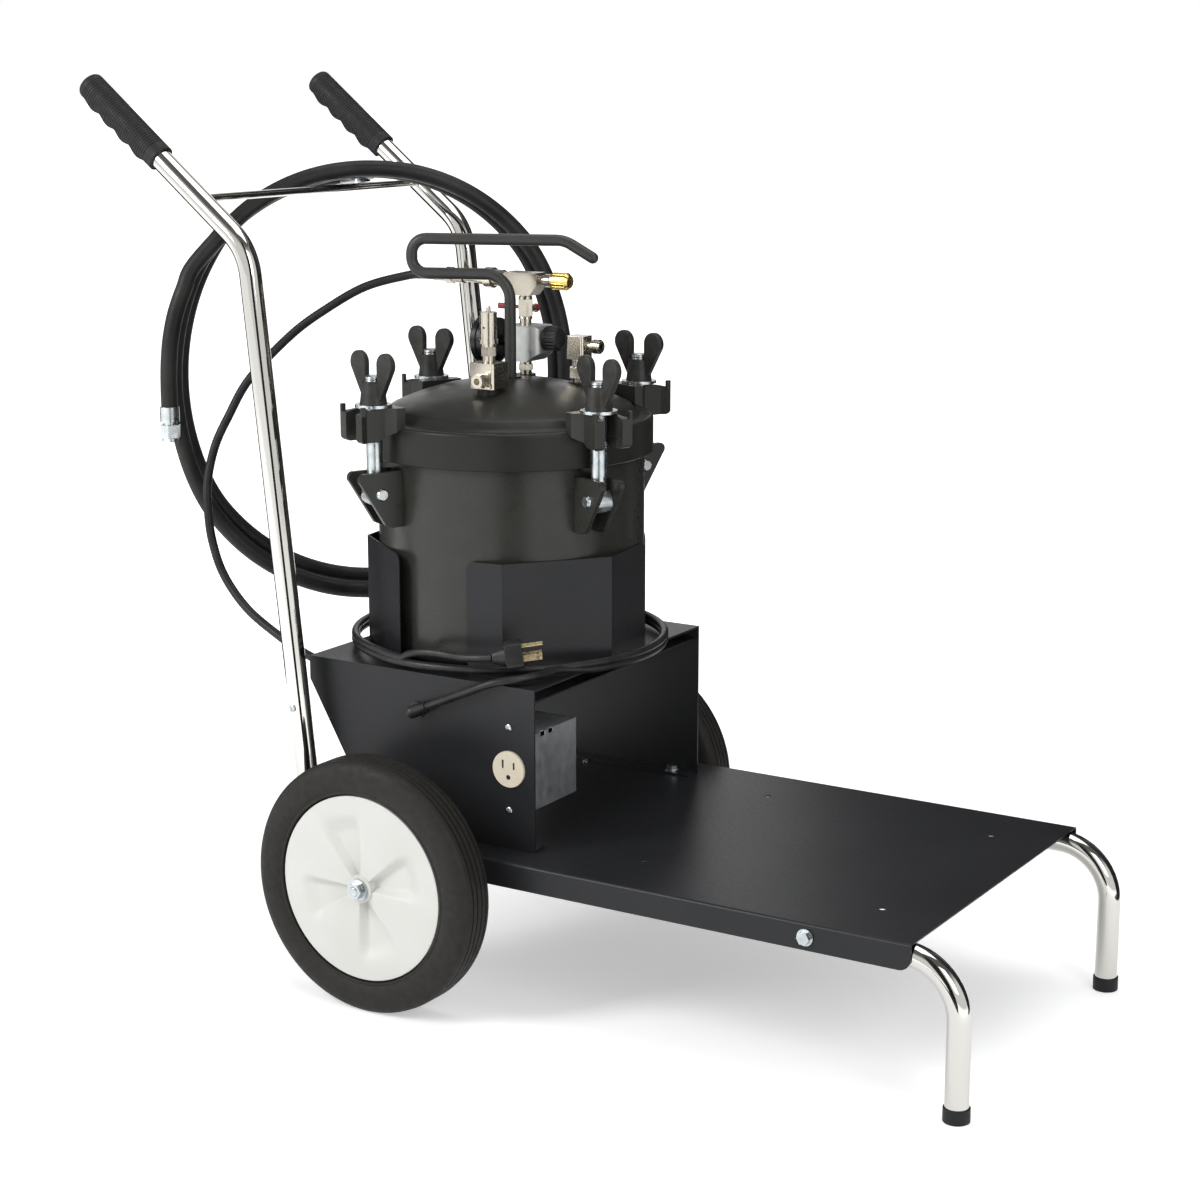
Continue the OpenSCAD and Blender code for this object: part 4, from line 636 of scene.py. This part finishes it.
def grip_shape(side):
    """A profile with ring grooves, spun once round, then swelled between the fingers below."""
    bore = tube_width / 2 + 0.00005
    outer = grip_width / 2
    profile = [(0, grip_long - grip_wall), (bore, grip_long - grip_wall), (bore, 0), (outer, 0),
               (outer, collar)]
    pitch = (grip_long - 2 * collar) / ring_count
    for ring in range(ring_count):
        start = collar + ring * pitch
        profile += [(outer, start + 0.5 * pitch), (outer - ring_deep, start + 0.62 * pitch),
                    (outer - ring_deep, start + 0.88 * pitch), (outer, start + pitch)]
    for k in range(5):
        turn = math.pi / 2 * k / 4
        profile.append((outer - grip_corner * (1 - math.cos(turn)),
                        grip_long - grip_corner * (1 - math.sin(turn))))
    profile.append((0, grip_long))
    shape = turned_shape(profile, 56, closed=False)
    for vert in shape.verts:
        if math.hypot(vert.co.x, vert.co.y) < outer - 2 * ring_deep:
            continue
        below = max(0, -vert.co.x / outer) ** 2
        along = (vert.co.z - collar - 0.003) / finger_gap
        if 0 < along < 4:
            vert.co.x -= swell_high * below * math.sin(math.pi * (along % 1)) ** 1.5
    upper = Vector((-math.cos(handle_rise), 0, math.sin(handle_rise)))
    start = Vector((knee.x, side * tube_side, knee.z)) + upper * (upper_reach + grip_wall
                                                                   - grip_long)
    return set_down(shape, start, handle_rise - math.pi / 2, "Y")


both_grips = grip_shape(-1)
second_grip = as_mesh("second_grip", grip_shape(1))
both_grips.from_mesh(second_grip)
bpy.data.meshes.remove(second_grip)
new_piece("hand_grips", both_grips, grip_rubber, "cart", "grip_rubber", "grips", angle=50)
eased_copy("foot_caps", grip_rubber, 0.0004)


# Cross rod: a thin chromed rod, welded between the two handles just under the knees. It keeps
# them apart, and the fluid hose hangs on it.
eased_copy("cross_rod", chrome_plate)


# Deck: one folded sheet of steel with a black powder coat, with a skirt down each side, four
# holes for accessories, and a shallow notch in each skirt where the axle's spacer passes.
black_coat = plain_finish("black_coat", (0.020, 0.021, 0.024), 0.36, gloss=0.24)
mottle(black_coat, 9, (0.0150, 0.0155, 0.0170), (0.0185, 0.0190, 0.0210))
speckle(black_coat, 220, 0.33, 0.40)
grain(black_coat, 650, 0.000012)
eased_copy("deck_tray", black_coat, 0.0003)


# Bolts and screws: zinc plated hexagon bolts with washers through the skirts and the riser's
# flanges, and small pan-head screws in the handles and round the socket.
eased_copy("fasteners", zinc_plate, 0.0002)


# Axle: a plated steel rod with threaded ends, spacers, washers and nuts. Two folded plates
# under the deck hold it still, and the wheels run on it.
eased_copy("axle", zinc_plate, 0.0003)
eased_copy("axle_brackets", black_coat, 0.0004)


# Tyres: solid black rubber rings with rounded sidewalls and four grooves round the tread,
# stretched over the hubs' rims.
tyre_rubber = plain_finish("tyre_rubber", (0.018, 0.0165, 0.015), 0.56, gloss=0.22)
mottle(tyre_rubber, 120, (0.016, 0.015, 0.0135), (0.021, 0.0195, 0.0175))
speckle(tyre_rubber, 160, 0.52, 0.68)
grain(tyre_rubber, 500, 0.00012)
wheel_out = 0.2385
wheel_radius = 0.127
hub_radius = 0.091
tread_half = 0.0138
side_wall = ((0.0955, -0.0212), (0.0975, -0.0207), (0.0995, -0.0219), (0.1035, -0.0233),
             (0.1085, -0.0235), (0.1135, -0.0232), (0.1180, -0.0223), (0.1216, -0.0207),
             (0.1244, -0.0184), (0.1262, -0.0158))
tyre_profile = [(hub_radius, 0.016), (hub_radius, -0.0192), (0.0922, -0.0208), *side_wall]
tyre_profile.append((wheel_radius - 0.0006, -tread_half))
for place in (-0.0105, -0.0035, 0.0035, 0.0105):
    tyre_profile += [(wheel_radius, place - 0.0009), (wheel_radius - 0.0018, place - 0.0006),
                     (wheel_radius - 0.0018, place + 0.0006), (wheel_radius, place + 0.0009)]
tyre_profile.append((wheel_radius - 0.0006, tread_half))
tyre_profile += [(r, -z) for r, z in side_wall[::-1]] + [(0.0945, 0.0206), (0.0940, 0.016)]
tyre_low, tyre_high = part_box("tyre_right")
wheel_high = (tyre_low.z + tyre_high.z) / 2
wheel_x = (tyre_low.x + tyre_high.x) / 2


def on_wheel(shape, side):
    """Lays a shape turned about Z on one wheel, with its top to the outside."""
    return set_down(shape, (wheel_x, side * wheel_out, wheel_high), -side * math.pi / 2, "X")


for side, word in ((-1, "right"), (1, "left")):
    new_piece(f"tyre_{word}_rubber", on_wheel(turned_shape(tyre_profile, 144), side),
              tyre_rubber, f"wheel_{word}", "tyre_rubber", f"tyre_{word}", angle=40)


# Hubs: white moulded nylon discs with a bored tube in the middle. Each face is sunk in four
# soft-edged pockets between four flat petals, and a thin lip holds the tyre.
hub_plastic = plain_finish("hub_plastic", (0.70, 0.70, 0.665), 0.42, gloss=0.4)
mottle(hub_plastic, 12, (0.67, 0.67, 0.635), (0.71, 0.71, 0.68))
speckle(hub_plastic, 50, 0.36, 0.5)
grain(hub_plastic, 240, 0.00003)
hub_face = 0.020
hub_wall = 0.003
hub_tube = 0.014
hub_bore = 0.0064
petal_from = 41
petal_angle = 46
petal_radius = 0.0765
pocket_wall = 0.021
pocket_outer = 0.0070
pocket_inner = 0.0085
pocket_side = 11
face_rings = 24
hub_profile = [(hub_bore, -0.024), (hub_tube, -0.024), (hub_tube, hub_face - hub_wall)]
for ring in range(1, face_rings):
    hub_profile.append((hub_tube + (0.0877 - hub_tube) * ring / face_rings,
                        hub_face - hub_wall))
hub_profile += [(0.08795, 0.016), (0.08795, -0.016), (0.09095, -0.016), (0.09095, 0.0162),
                (0.09255, 0.0162), (0.09255, 0.0193), (0.09215, 0.0197), (0.0906, 0.0198),
                (0.0901, hub_face)]
for ring in range(face_rings - 1, -1, -1):
    hub_profile.append((hub_tube + (0.0885 - hub_tube) * ring / face_rings, hub_face))
hub_profile += [(hub_tube, 0.0216), (0.0136, 0.022), (hub_bore, 0.022)]


def pocket_depth(radius, angle):
    """How far the face is sunk at a place; angle is in degrees round the hub."""
    past = (angle - petal_from) % 90
    into = min(past - petal_angle, 90 - past)
    outer_end = pocket_outer * eased(petal_radius - radius, 0, pocket_wall)
    floor_fall = (pocket_inner - pocket_outer) * max(
        0, (petal_radius - pocket_wall - radius) / (petal_radius - pocket_wall - hub_tube))
    return (outer_end + floor_fall) * eased(into, -1.5, pocket_side)


def hub_shape():
    """The turned disc with its pockets sunk into the outer face."""
    shape = turned_shape(hub_profile, 240)
    for vert in shape.verts:
        radius = math.hypot(vert.co.x, vert.co.y)
        on_face = vert.co.z > hub_face - hub_wall - 0.0001
        if on_face and hub_tube - 0.0001 < radius < petal_radius and vert.co.z < 0.0205:
            vert.co.z -= pocket_depth(radius, math.degrees(math.atan2(vert.co.y, vert.co.x)))
    return shape


for side, word in ((-1, "right"), (1, "left")):
    new_piece(f"hub_{word}_moulded", on_wheel(hub_shape(), side), hub_plastic,
              f"wheel_{word}", "hub_plastic", f"hub_{word}", angle=40)


# Riser box: folded steel sheet with the deck's powder coat, open at both ends, bolted down by
# its inward flanges. Two strips under its top carry the tank's weight to the sides.
eased_copy("riser_box", black_coat, 0.0004)


# Socket: an ivory moulded receptacle with a round face, screwed to the riser's side panel, and
# a galvanised steel outlet box behind it.
galvanised = plain_finish("galvanised", (0.42, 0.44, 0.46), 0.42, 0.85)
mottle(galvanised, 90, (0.40, 0.42, 0.43), (0.50, 0.52, 0.53))
speckle(galvanised, 80, 0.34, 0.52)
ivory_plastic = plain_finish("ivory_plastic", (0.76, 0.69, 0.55), 0.3, gloss=0.4)
mottle(ivory_plastic, 30, (0.73, 0.66, 0.52), (0.78, 0.71, 0.575))
speckle(ivory_plastic, 90, 0.26, 0.38)
eased_copy("device_box", galvanised, 0.0003)
eased_copy("receptacle", ivory_plastic, 0.0003)
# Dark blocks sit just inside the two slots and the round ground hole: painted shade of those
# recesses.
painted_slot_shade = plain_finish("painted_slot_shade", (0.02, 0.016, 0.012), 0.6, gloss=0.2)
mottle(painted_slot_shade, 300, (0.014, 0.012, 0.010), (0.035, 0.028, 0.018))
speckle(painted_slot_shade, 300, 0.5, 0.7)
socket_low, socket_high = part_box("receptacle")
socket_middle = Vector(((socket_low.x + socket_high.x) / 2, socket_low.y,
                        (socket_low.z + socket_high.z) / 2))
shade_block_inset = 0.0007
# The blocks that carry the painted shade in the slots and the ground hole.
slot_shade_blocks = bmesh.new()
for across, tall in ((-0.00635, 0.0085), (0.00635, 0.0070)):
    made = bmesh.ops.create_cube(slot_shade_blocks, size=1)["verts"]
    bmesh.ops.scale(slot_shade_blocks, vec=(0.00205, 0.002, tall - 0.0001), verts=made)
    bmesh.ops.translate(slot_shade_blocks, verts=made,
                        vec=socket_middle + Vector((across, shade_block_inset + 0.001,
                                                    0.0005 + tall / 2)))
bmesh.ops.create_cone(slot_shade_blocks, cap_ends=True, segments=32, radius1=0.00245, radius2=0.00245,
                      depth=0.002,
                      matrix=Matrix.Translation(socket_middle
                                                + Vector((0, shade_block_inset + 0.001, -0.008)))
                      @ Matrix.Rotation(math.pi / 2, 4, "X"))
new_piece("socket_slot_shade", slot_shade_blocks, painted_slot_shade, "cart", "knob_plastic")


# Cradle: two lengths of folded steel strip, screwed down on the riser's top, that hold the
# tank's foot between their flats.
for word in ("front", "rear"):
    eased_copy(f"cradle_{word}", black_coat, 0.0004, corner=0.009)


# Tank: a deep drawn steel pot with a charcoal enamel, and four pairs of lug plates welded on
# under the rim for the clamps.
tank_enamel = plain_finish("tank_enamel", (0.030, 0.030, 0.026), 0.3, gloss=0.3)
mottle(tank_enamel, 7, (0.026, 0.026, 0.0225), (0.031, 0.031, 0.027))
speckle(tank_enamel, 40, 0.24, 0.38)
grain(tank_enamel, 500, 0.000012)
tank_low, tank_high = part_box("tank_shell")
tank_middle = Vector(((tank_low.x + tank_high.x) / 2, 0, 0))
tank_radius = (tank_high.x - tank_low.x) / 2
tank_wall = 0.003
tank_edge = 0.018


def on_tank(shape):
    """Lays a shape turned about Z on the tank's axis."""
    return set_down(shape, tank_middle)


def round_corner(middle, radius, first, last, steps):
    """Points on an arc of a profile; the angles are in degrees."""
    return [(middle[0] + radius * math.cos(math.radians(first + (last - first) * k / steps)),
             middle[1] + radius * math.sin(math.radians(first + (last - first) * k / steps)))
            for k in range(steps + 1)]


edge_middle = (tank_radius - tank_edge, tank_low.z + tank_edge)
tank_profile = [(0, tank_low.z)]
tank_profile += round_corner(edge_middle, tank_edge, -90, 0, 8)
tank_profile += [(tank_radius, tank_low.z + 0.09), (tank_radius, tank_high.z - 0.06),
                 (tank_radius, tank_high.z), (tank_radius - tank_wall, tank_high.z)]
tank_profile += round_corner(edge_middle, tank_edge - tank_wall, 0, -90, 8)
tank_profile.append((0, tank_low.z + tank_wall))
new_piece("tank_drawn", on_tank(turned_shape(tank_profile, 144, closed=False)), tank_enamel,
          "cart", "tank_paint", "tank_shell", angle=40)
eased_copy("clamp_lugs", tank_enamel, 0.0005)


# Lid: a domed pressing with a deep band, seated on a square rubber gasket. Four bungs for the
# fittings and the four clamp yokes are welded on before it is enamelled.
gasket_rubber = plain_finish("gasket_rubber", (0.04, 0.038, 0.033), 0.7, gloss=0.2)
speckle(gasket_rubber, 120, 0.62, 0.8)
grain(gasket_rubber, 400, 0.00005)
eased_copy("lid_gasket", gasket_rubber)
# The lid's enamel is the tank's enamel made darker: painted shade on the dome and band.
shaded_lid_enamel = plain_finish("shaded_lid_enamel", (0.021, 0.021, 0.0185), 0.34, gloss=0.16)
mottle(shaded_lid_enamel, 7, (0.020, 0.020, 0.0175), (0.023, 0.023, 0.0205))
speckle(shaded_lid_enamel, 40, 0.28, 0.40)
grain(shaded_lid_enamel, 500, 0.000012)
lid_low, lid_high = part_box("lid")
lid_radius = (lid_high.x - lid_low.x) / 2
lid_wall = 0.003
dome_rise = 0.039
rim_high = tank_high.z + 0.007
ball_radius = (lid_radius ** 2 + dome_rise ** 2) / (2 * dome_rise)
ball_middle = rim_high + dome_rise - ball_radius


def dome_at(radius, inset=0.0):
    """The dome's height at a distance from its middle; inset gives its inner face."""
    return ball_middle + math.sqrt((ball_radius - inset) ** 2 - radius ** 2)


shoulder = 0.120
lid_profile = [(shoulder * k / 16, dome_at(shoulder * k / 16)) for k in range(17)]
lid_profile += [(0.1235, dome_at(0.1235) - 0.0006), (0.1268, rim_high + 0.0058),
                (0.1296, rim_high + 0.0032), (0.1322, rim_high + 0.0018),
                (0.1352, rim_high + 0.0014), (0.1378, rim_high + 0.0021)]
lid_profile += round_corner((lid_radius - 0.0036, rim_high - 0.0012), 0.0036, 100, 0, 7)
lid_profile += [(lid_radius, lid_low.z + 0.017), (lid_radius, lid_low.z + 0.0006),
                (lid_radius - 0.0006, lid_low.z), (lid_radius - lid_wall, lid_low.z),
                (lid_radius - lid_wall, rim_high - lid_wall),
                (lid_radius - lid_wall - 0.006, rim_high - lid_wall)]
lid_profile += [(shoulder * k / 16, dome_at(shoulder * k / 16, lid_wall))
                for k in range(16, -1, -1)]
lid_shape = turned_shape(lid_profile, 144, closed=False)
# Bungs for the handle, the manifold, the relief block and the outlet.
for ahead, left, top, width in ((0, 0, dome_at(0) + 0.0015, 0.022),
                                (-0.008, 0.040, dome_at(0.0408) + 0.002, 0.020),
                                (0.0144, -0.060, dome_at(0.0429) + 0.0005, 0.022),
                                (0.0537, 0.045, dome_at(0.0701) + 0.003, 0.024)):
    bmesh.ops.create_cone(lid_shape, cap_ends=True, segments=48, radius1=width / 2 + 0.0006,
                          radius2=width / 2, depth=0.012,
                          matrix=Matrix.Translation((ahead, left, top - 0.006)))
new_piece("lid_pressed", on_tank(lid_shape), shaded_lid_enamel, "cart", "tank_paint", "lid", angle=40)
eased_copy("lid_yokes", tank_enamel, 0.0008)


# Clamps: each has a plated hinge pin riveted through the lugs, a swing bolt with a forged eye
# and a coarse rolled thread, a washer, and a black cast wing nut.
eased_copy("clamp_pins", zinc_plate, 0.0003)
thread_pitch = 0.00231
bolt_thread = plain_finish("bolt_thread", (0.60, 0.63, 0.65), 0.28, 1.0)
mottle(bolt_thread, 90, (0.38, 0.42, 0.44), (0.54, 0.57, 0.57))
speckle(bolt_thread, 140, 0.22, 0.4)
thread_tree = bolt_thread.node_tree
thread_place = thread_tree.nodes.new("ShaderNodeTexCoord")
thread_wave = thread_tree.nodes.new("ShaderNodeTexWave")
thread_wave.wave_type = "BANDS"
thread_wave.bands_direction = "Z"
thread_wave.inputs["Scale"].default_value = 2 * math.pi / (20 * thread_pitch)
thread_tree.links.new(thread_place.outputs["Object"], thread_wave.inputs["Vector"])
thread_height = thread_tree.nodes.new("ShaderNodeSeparateXYZ")
thread_tree.links.new(thread_place.outputs["Object"], thread_height.inputs[0])
# The bolt is smooth below the yokes, and its thread begins just under them.
thread_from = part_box("lid_yokes")[0].z
thread_depth = in_range(thread_tree, thread_height.outputs["Z"], thread_from - 0.004,
                        thread_from, 0.0, 0.00045)
thread_bump = thread_tree.nodes.new("ShaderNodeBump")
thread_tree.links.new(thread_depth, thread_bump.inputs["Distance"])
thread_tree.links.new(thread_wave.outputs["Fac"], thread_bump.inputs["Height"])
thread_tree.links.new(thread_bump.outputs["Normal"],
                      thread_tree.nodes["Principled BSDF"].inputs["Normal"])
black_iron = plain_finish("black_iron", (0.030, 0.030, 0.028), 0.42, 0.25, gloss=0.25)
mottle(black_iron, 70, (0.024, 0.024, 0.022), (0.045, 0.044, 0.040))
speckle(black_iron, 120, 0.34, 0.52)
grain(black_iron, 300, 0.00015)
nut_turned = {1: -21, 2: -11, 3: -10, 4: -15}
nut_foot = 0.0135
nut_neck = 0.01075
nut_tall = 0.022
bolt_radius = 0.00805
ear_apart = 0.041
ear_radius = 0.0117
ear_high = 0.0392
ear_thick = 0.0068


def wing_nut_shape(number):
    """A tapered hub with a bore, and two ears, each hulled from a disc and a root, then rounded."""
    shape = turned_shape([(bolt_radius, 0), (nut_foot, 0), (nut_neck, nut_tall),
                          (bolt_radius, nut_tall)], 48)
    for side in (-1, 1):
        ear = bmesh.new()
        bmesh.ops.create_circle(
            ear, segments=28, radius=ear_radius,
            matrix=Matrix.Translation((side * ear_apart / 2, ear_thick / 2, ear_high))
            @ Matrix.Rotation(math.pi / 2, 4, "X"))
        for x, z in ((0.0095, 0.003), (nut_foot - 0.001, 0.0025), (0.0092, nut_tall - 0.003)):
            ear.verts.new((side * x, ear_thick / 2, z))
        front = list(ear.verts)
        copy = bmesh.ops.duplicate(ear, geom=front)["geom"]
        bmesh.ops.translate(ear, vec=(0, -ear_thick, 0), verts=only(bmesh.types.BMVert, copy))
        hull = bmesh.ops.convex_hull(ear, input=ear.verts)
        inside = set(only(bmesh.types.BMVert, hull["geom_unused"] + hull["geom_interior"]))
        bmesh.ops.delete(ear, geom=list(inside), context="VERTS")
        bmesh.ops.dissolve_limit(ear, angle_limit=math.radians(1), verts=ear.verts,
                                 edges=ear.edges)
        rims = [e for e in ear.edges
                if len(e.link_faces) == 2 and e.calc_face_angle() > math.radians(50)]
        bevelled(ear, rims, 0.0021, 4)
        ear_mesh = as_mesh("ear", ear)
        shape.from_mesh(ear_mesh)
        bpy.data.meshes.remove(ear_mesh)
    low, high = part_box(f"clamp_washer_{number}")
    return set_down(shape, ((low.x + high.x) / 2, (low.y + high.y) / 2, high.z),
                    math.radians(nut_turned[number]))


for number in range(1, 5):
    eased_copy(f"swing_bolt_{number}", bolt_thread, 0.0004)
    eased_copy(f"clamp_washer_{number}", zinc_plate, 0.0003)
    new_piece(f"wing_nut_{number}_cast", wing_nut_shape(number), black_iron,
              frame["nodes"][f"wing_nut_{number}"]["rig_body"], "nut_iron",
              f"wing_nut_{number}", angle=50)


# Handle: a round steel rod bent into a hook, enamelled black and screwed into the middle of
# the lid. The spray gun hangs on it, and the lid is lifted by it.
hook_enamel = plain_finish("hook_enamel", (0.040, 0.041, 0.038), 0.34, gloss=0.3)
mottle(hook_enamel, 25, (0.036, 0.037, 0.034), (0.046, 0.047, 0.044))
speckle(hook_enamel, 120, 0.28, 0.42)
grain(hook_enamel, 260, 0.00005)
eased_copy("lid_handle", hook_enamel)


# Air manifold: nickel plated brass nipples and a ball valve screwed into a cast regulator, with
# a fluted knob in front and a gauge behind. The valve's lever has a red dipped sleeve.
nickel_plate = plain_finish("nickel_plate", (0.58, 0.53, 0.45), 0.24, 1.0)
mottle(nickel_plate, 45, (0.50, 0.46, 0.385), (0.56, 0.52, 0.44))
speckle(nickel_plate, 90, 0.2, 0.28)
cast_alloy = plain_finish("cast_alloy", (0.47, 0.48, 0.47), 0.42, 0.7)
mottle(cast_alloy, 80, (0.42, 0.43, 0.42), (0.52, 0.53, 0.52))
speckle(cast_alloy, 160, 0.36, 0.52)
grain(cast_alloy, 420, 0.00012)
knob_black = plain_finish("knob_black", (0.02, 0.02, 0.02), 0.42, gloss=0.3)
speckle(knob_black, 220, 0.36, 0.5)
grain(knob_black, 500, 0.00005)
lever_red = plain_finish("lever_red", (0.36, 0.016, 0.028), 0.22)
mottle(lever_red, 60, (0.33, 0.014, 0.025), (0.39, 0.019, 0.031))
speckle(lever_red, 150, 0.16, 0.3)
eased_copy("pipe_nipples", nickel_plate, 0.0002)
eased_copy("regulator_body", cast_alloy, 0.0006)
eased_copy("regulator_knob", knob_black, 0.0002)
eased_copy("ball_valve", nickel_plate, 0.0003)
eased_copy("valve_lever", lever_red, 0.0004)


# Pressure gauge: a black enamelled steel case screwed into the regulator's back, with a white
# printed dial, a black pointer on a brass hub, and a flat glass held by the rolled rim.
gauge_black = plain_finish("gauge_black", (0.012, 0.012, 0.013), 0.28, gloss=0.35)
speckle(gauge_black, 80, 0.22, 0.36)
grain(gauge_black, 300, 0.00003)
eased_copy("pressure_gauge", gauge_black, 0.0004)
gauge_low, gauge_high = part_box("pressure_gauge")
gauge_middle = Vector((gauge_low.x, (gauge_low.y + gauge_high.y) / 2,
                       (gauge_low.z + gauge_high.z) / 2))
dial_radius = 0.0221
dial_seat = 0.0020
printed_deep = 0.00008
first_mark = 225
mark_turn = 270
# From the dial's own plane, seen from behind the cart, to the cart's frame.
dial_frame = Matrix.Translation(gauge_middle) @ Matrix(
    ((0, 0, -1, 0), (-1, 0, 0, 0), (0, 1, 0, 0), (0, 0, 0, 1)))


def flat_disc(shape, radius, low, high, segments=64):
    """A disc on the dial's axis; low and high are measured out from the case's rim."""
    made = bmesh.ops.create_circle(shape, cap_ends=True, segments=segments, radius=radius,
                                   matrix=Matrix.Translation((0, 0, low)))
    face = made["verts"][0].link_faces[0]
    raised = bmesh.ops.extrude_face_region(shape, geom=[face])["geom"]
    bmesh.ops.translate(shape, vec=(0, 0, high - low), verts=only(bmesh.types.BMVert, raised))


def flat_bar(shape, angle, inner, outer, width, low, high):
    """A bar that points from the dial's middle towards an angle."""
    made = bmesh.ops.create_cube(shape, size=1)["verts"]
    bmesh.ops.scale(shape, vec=(outer - inner, width, high - low), verts=made)
    bmesh.ops.translate(shape, vec=((inner + outer) / 2, 0, (low + high) / 2), verts=made)
    bmesh.ops.rotate(shape, cent=(0, 0, 0), matrix=Matrix.Rotation(math.radians(angle), 3, "Z"),
                     verts=made)


def on_dial(name, shape, finish, slot_name):
    """Makes a piece of the gauge from a shape drawn in the dial's own plane."""
    bmesh.ops.transform(shape, matrix=dial_frame, verts=shape.verts)
    bmesh.ops.recalc_face_normals(shape, faces=shape.faces)
    return new_piece(name, shape, finish, "cart", slot_name)


dial_white = plain_finish("dial_white", (0.78, 0.78, 0.75), 0.5)
speckle(dial_white, 200, 0.44, 0.58)
dial_print = plain_finish("dial_print", (0.02, 0.02, 0.02), 0.6)
speckle(dial_print, 300, 0.5, 0.7)
dial_shape = bmesh.new()
flat_disc(dial_shape, dial_radius, -dial_seat + 0.00005, -dial_seat + 0.0004)
on_dial("gauge_dial", dial_shape, dial_white, "ivory_plastic")
print_low = -dial_seat + 0.0004
marks = bmesh.new()
for mark in range(51):
    long_mark = mark % 10 == 0
    flat_bar(marks, first_mark - mark_turn * mark / 50, 0.0166 if long_mark else 0.0180, 0.0197,
             0.0006 if long_mark else 0.00028, print_low, print_low + printed_deep)
for number in range(6):
    angle = math.radians(first_mark - mark_turn * number / 5)
    words = bpy.data.curves.new("dial_number", "FONT")
    words.body = str(number * 20)
    words.size = 0.0042
    words.align_x = "CENTER"
    words.align_y = "CENTER"
    holder = in_scene("dial_number", words)
    outline = bpy.data.meshes.new_from_object(holder)
    bpy.data.objects.remove(holder)
    before = set(marks.verts)
    marks.from_mesh(outline)
    bpy.data.meshes.remove(outline)
    bmesh.ops.translate(marks, verts=[v for v in marks.verts if v not in before],
                        vec=(0.0132 * math.cos(angle), 0.0132 * math.sin(angle),
                             print_low + printed_deep))
on_dial("gauge_marks", marks, dial_print, "knob_plastic")
pointer = bmesh.new()
for reach, width in ((0.0172, 0.0009), (0.004, 0.0018)):
    flat_bar(pointer, first_mark, -0.006, reach, width, -dial_seat + 0.0008, -dial_seat + 0.0011)
flat_disc(pointer, 0.0021, print_low, -dial_seat + 0.0013, segments=32)
on_dial("gauge_pointer", pointer, dial_print, "knob_plastic")
gauge_glass = plain_finish("gauge_glass", (0.96, 0.97, 0.97), 0.03)
glass_shader = gauge_glass.node_tree.nodes["Principled BSDF"]
glass_shader.inputs["Transmission Weight"].default_value = 1.0
glass_shader.inputs["IOR"].default_value = 1.46
pane = bmesh.new()
flat_disc(pane, 0.0223, -0.0006, -0.0001)
on_dial("gauge_pane", pane, gauge_glass, "ivory_plastic")


# Top of the manifold: a plated tee that splits the air, a knurled brass cap on its front arm
# and a long plated coupler on its back arm, where the air hose is clamped on.
cap_brass = plain_finish("cap_brass", (0.80, 0.58, 0.17), 0.22, 1.0)
mottle(cap_brass, 90, (0.74, 0.52, 0.14), (0.85, 0.64, 0.21))
speckle(cap_brass, 200, 0.16, 0.32)
eased_copy("manifold_tee", nickel_plate, 0.0005)
eased_copy("brass_cap", cap_brass, 0.0002)
eased_copy("hose_coupler", nickel_plate, 0.0003)


# Relief valve: a plated block on the lid with a hexagon plug, and a spring-loaded valve on top
# whose stem is pulled to let the pressure off.
eased_copy("relief_block", nickel_plate, 0.0005)
eased_copy("relief_valve", nickel_plate, 0.0003)
eased_copy("relief_stem", nickel_plate, 0.0001)


# Fittings for paint and air: a plated outlet elbow with a beaded stub on the lid, and the elbow
# that takes the air hose under the riser's top.
eased_copy("outlet_elbow", nickel_plate, 0.0004)
eased_copy("air_inlet_fitting", nickel_plate, 0.0003)
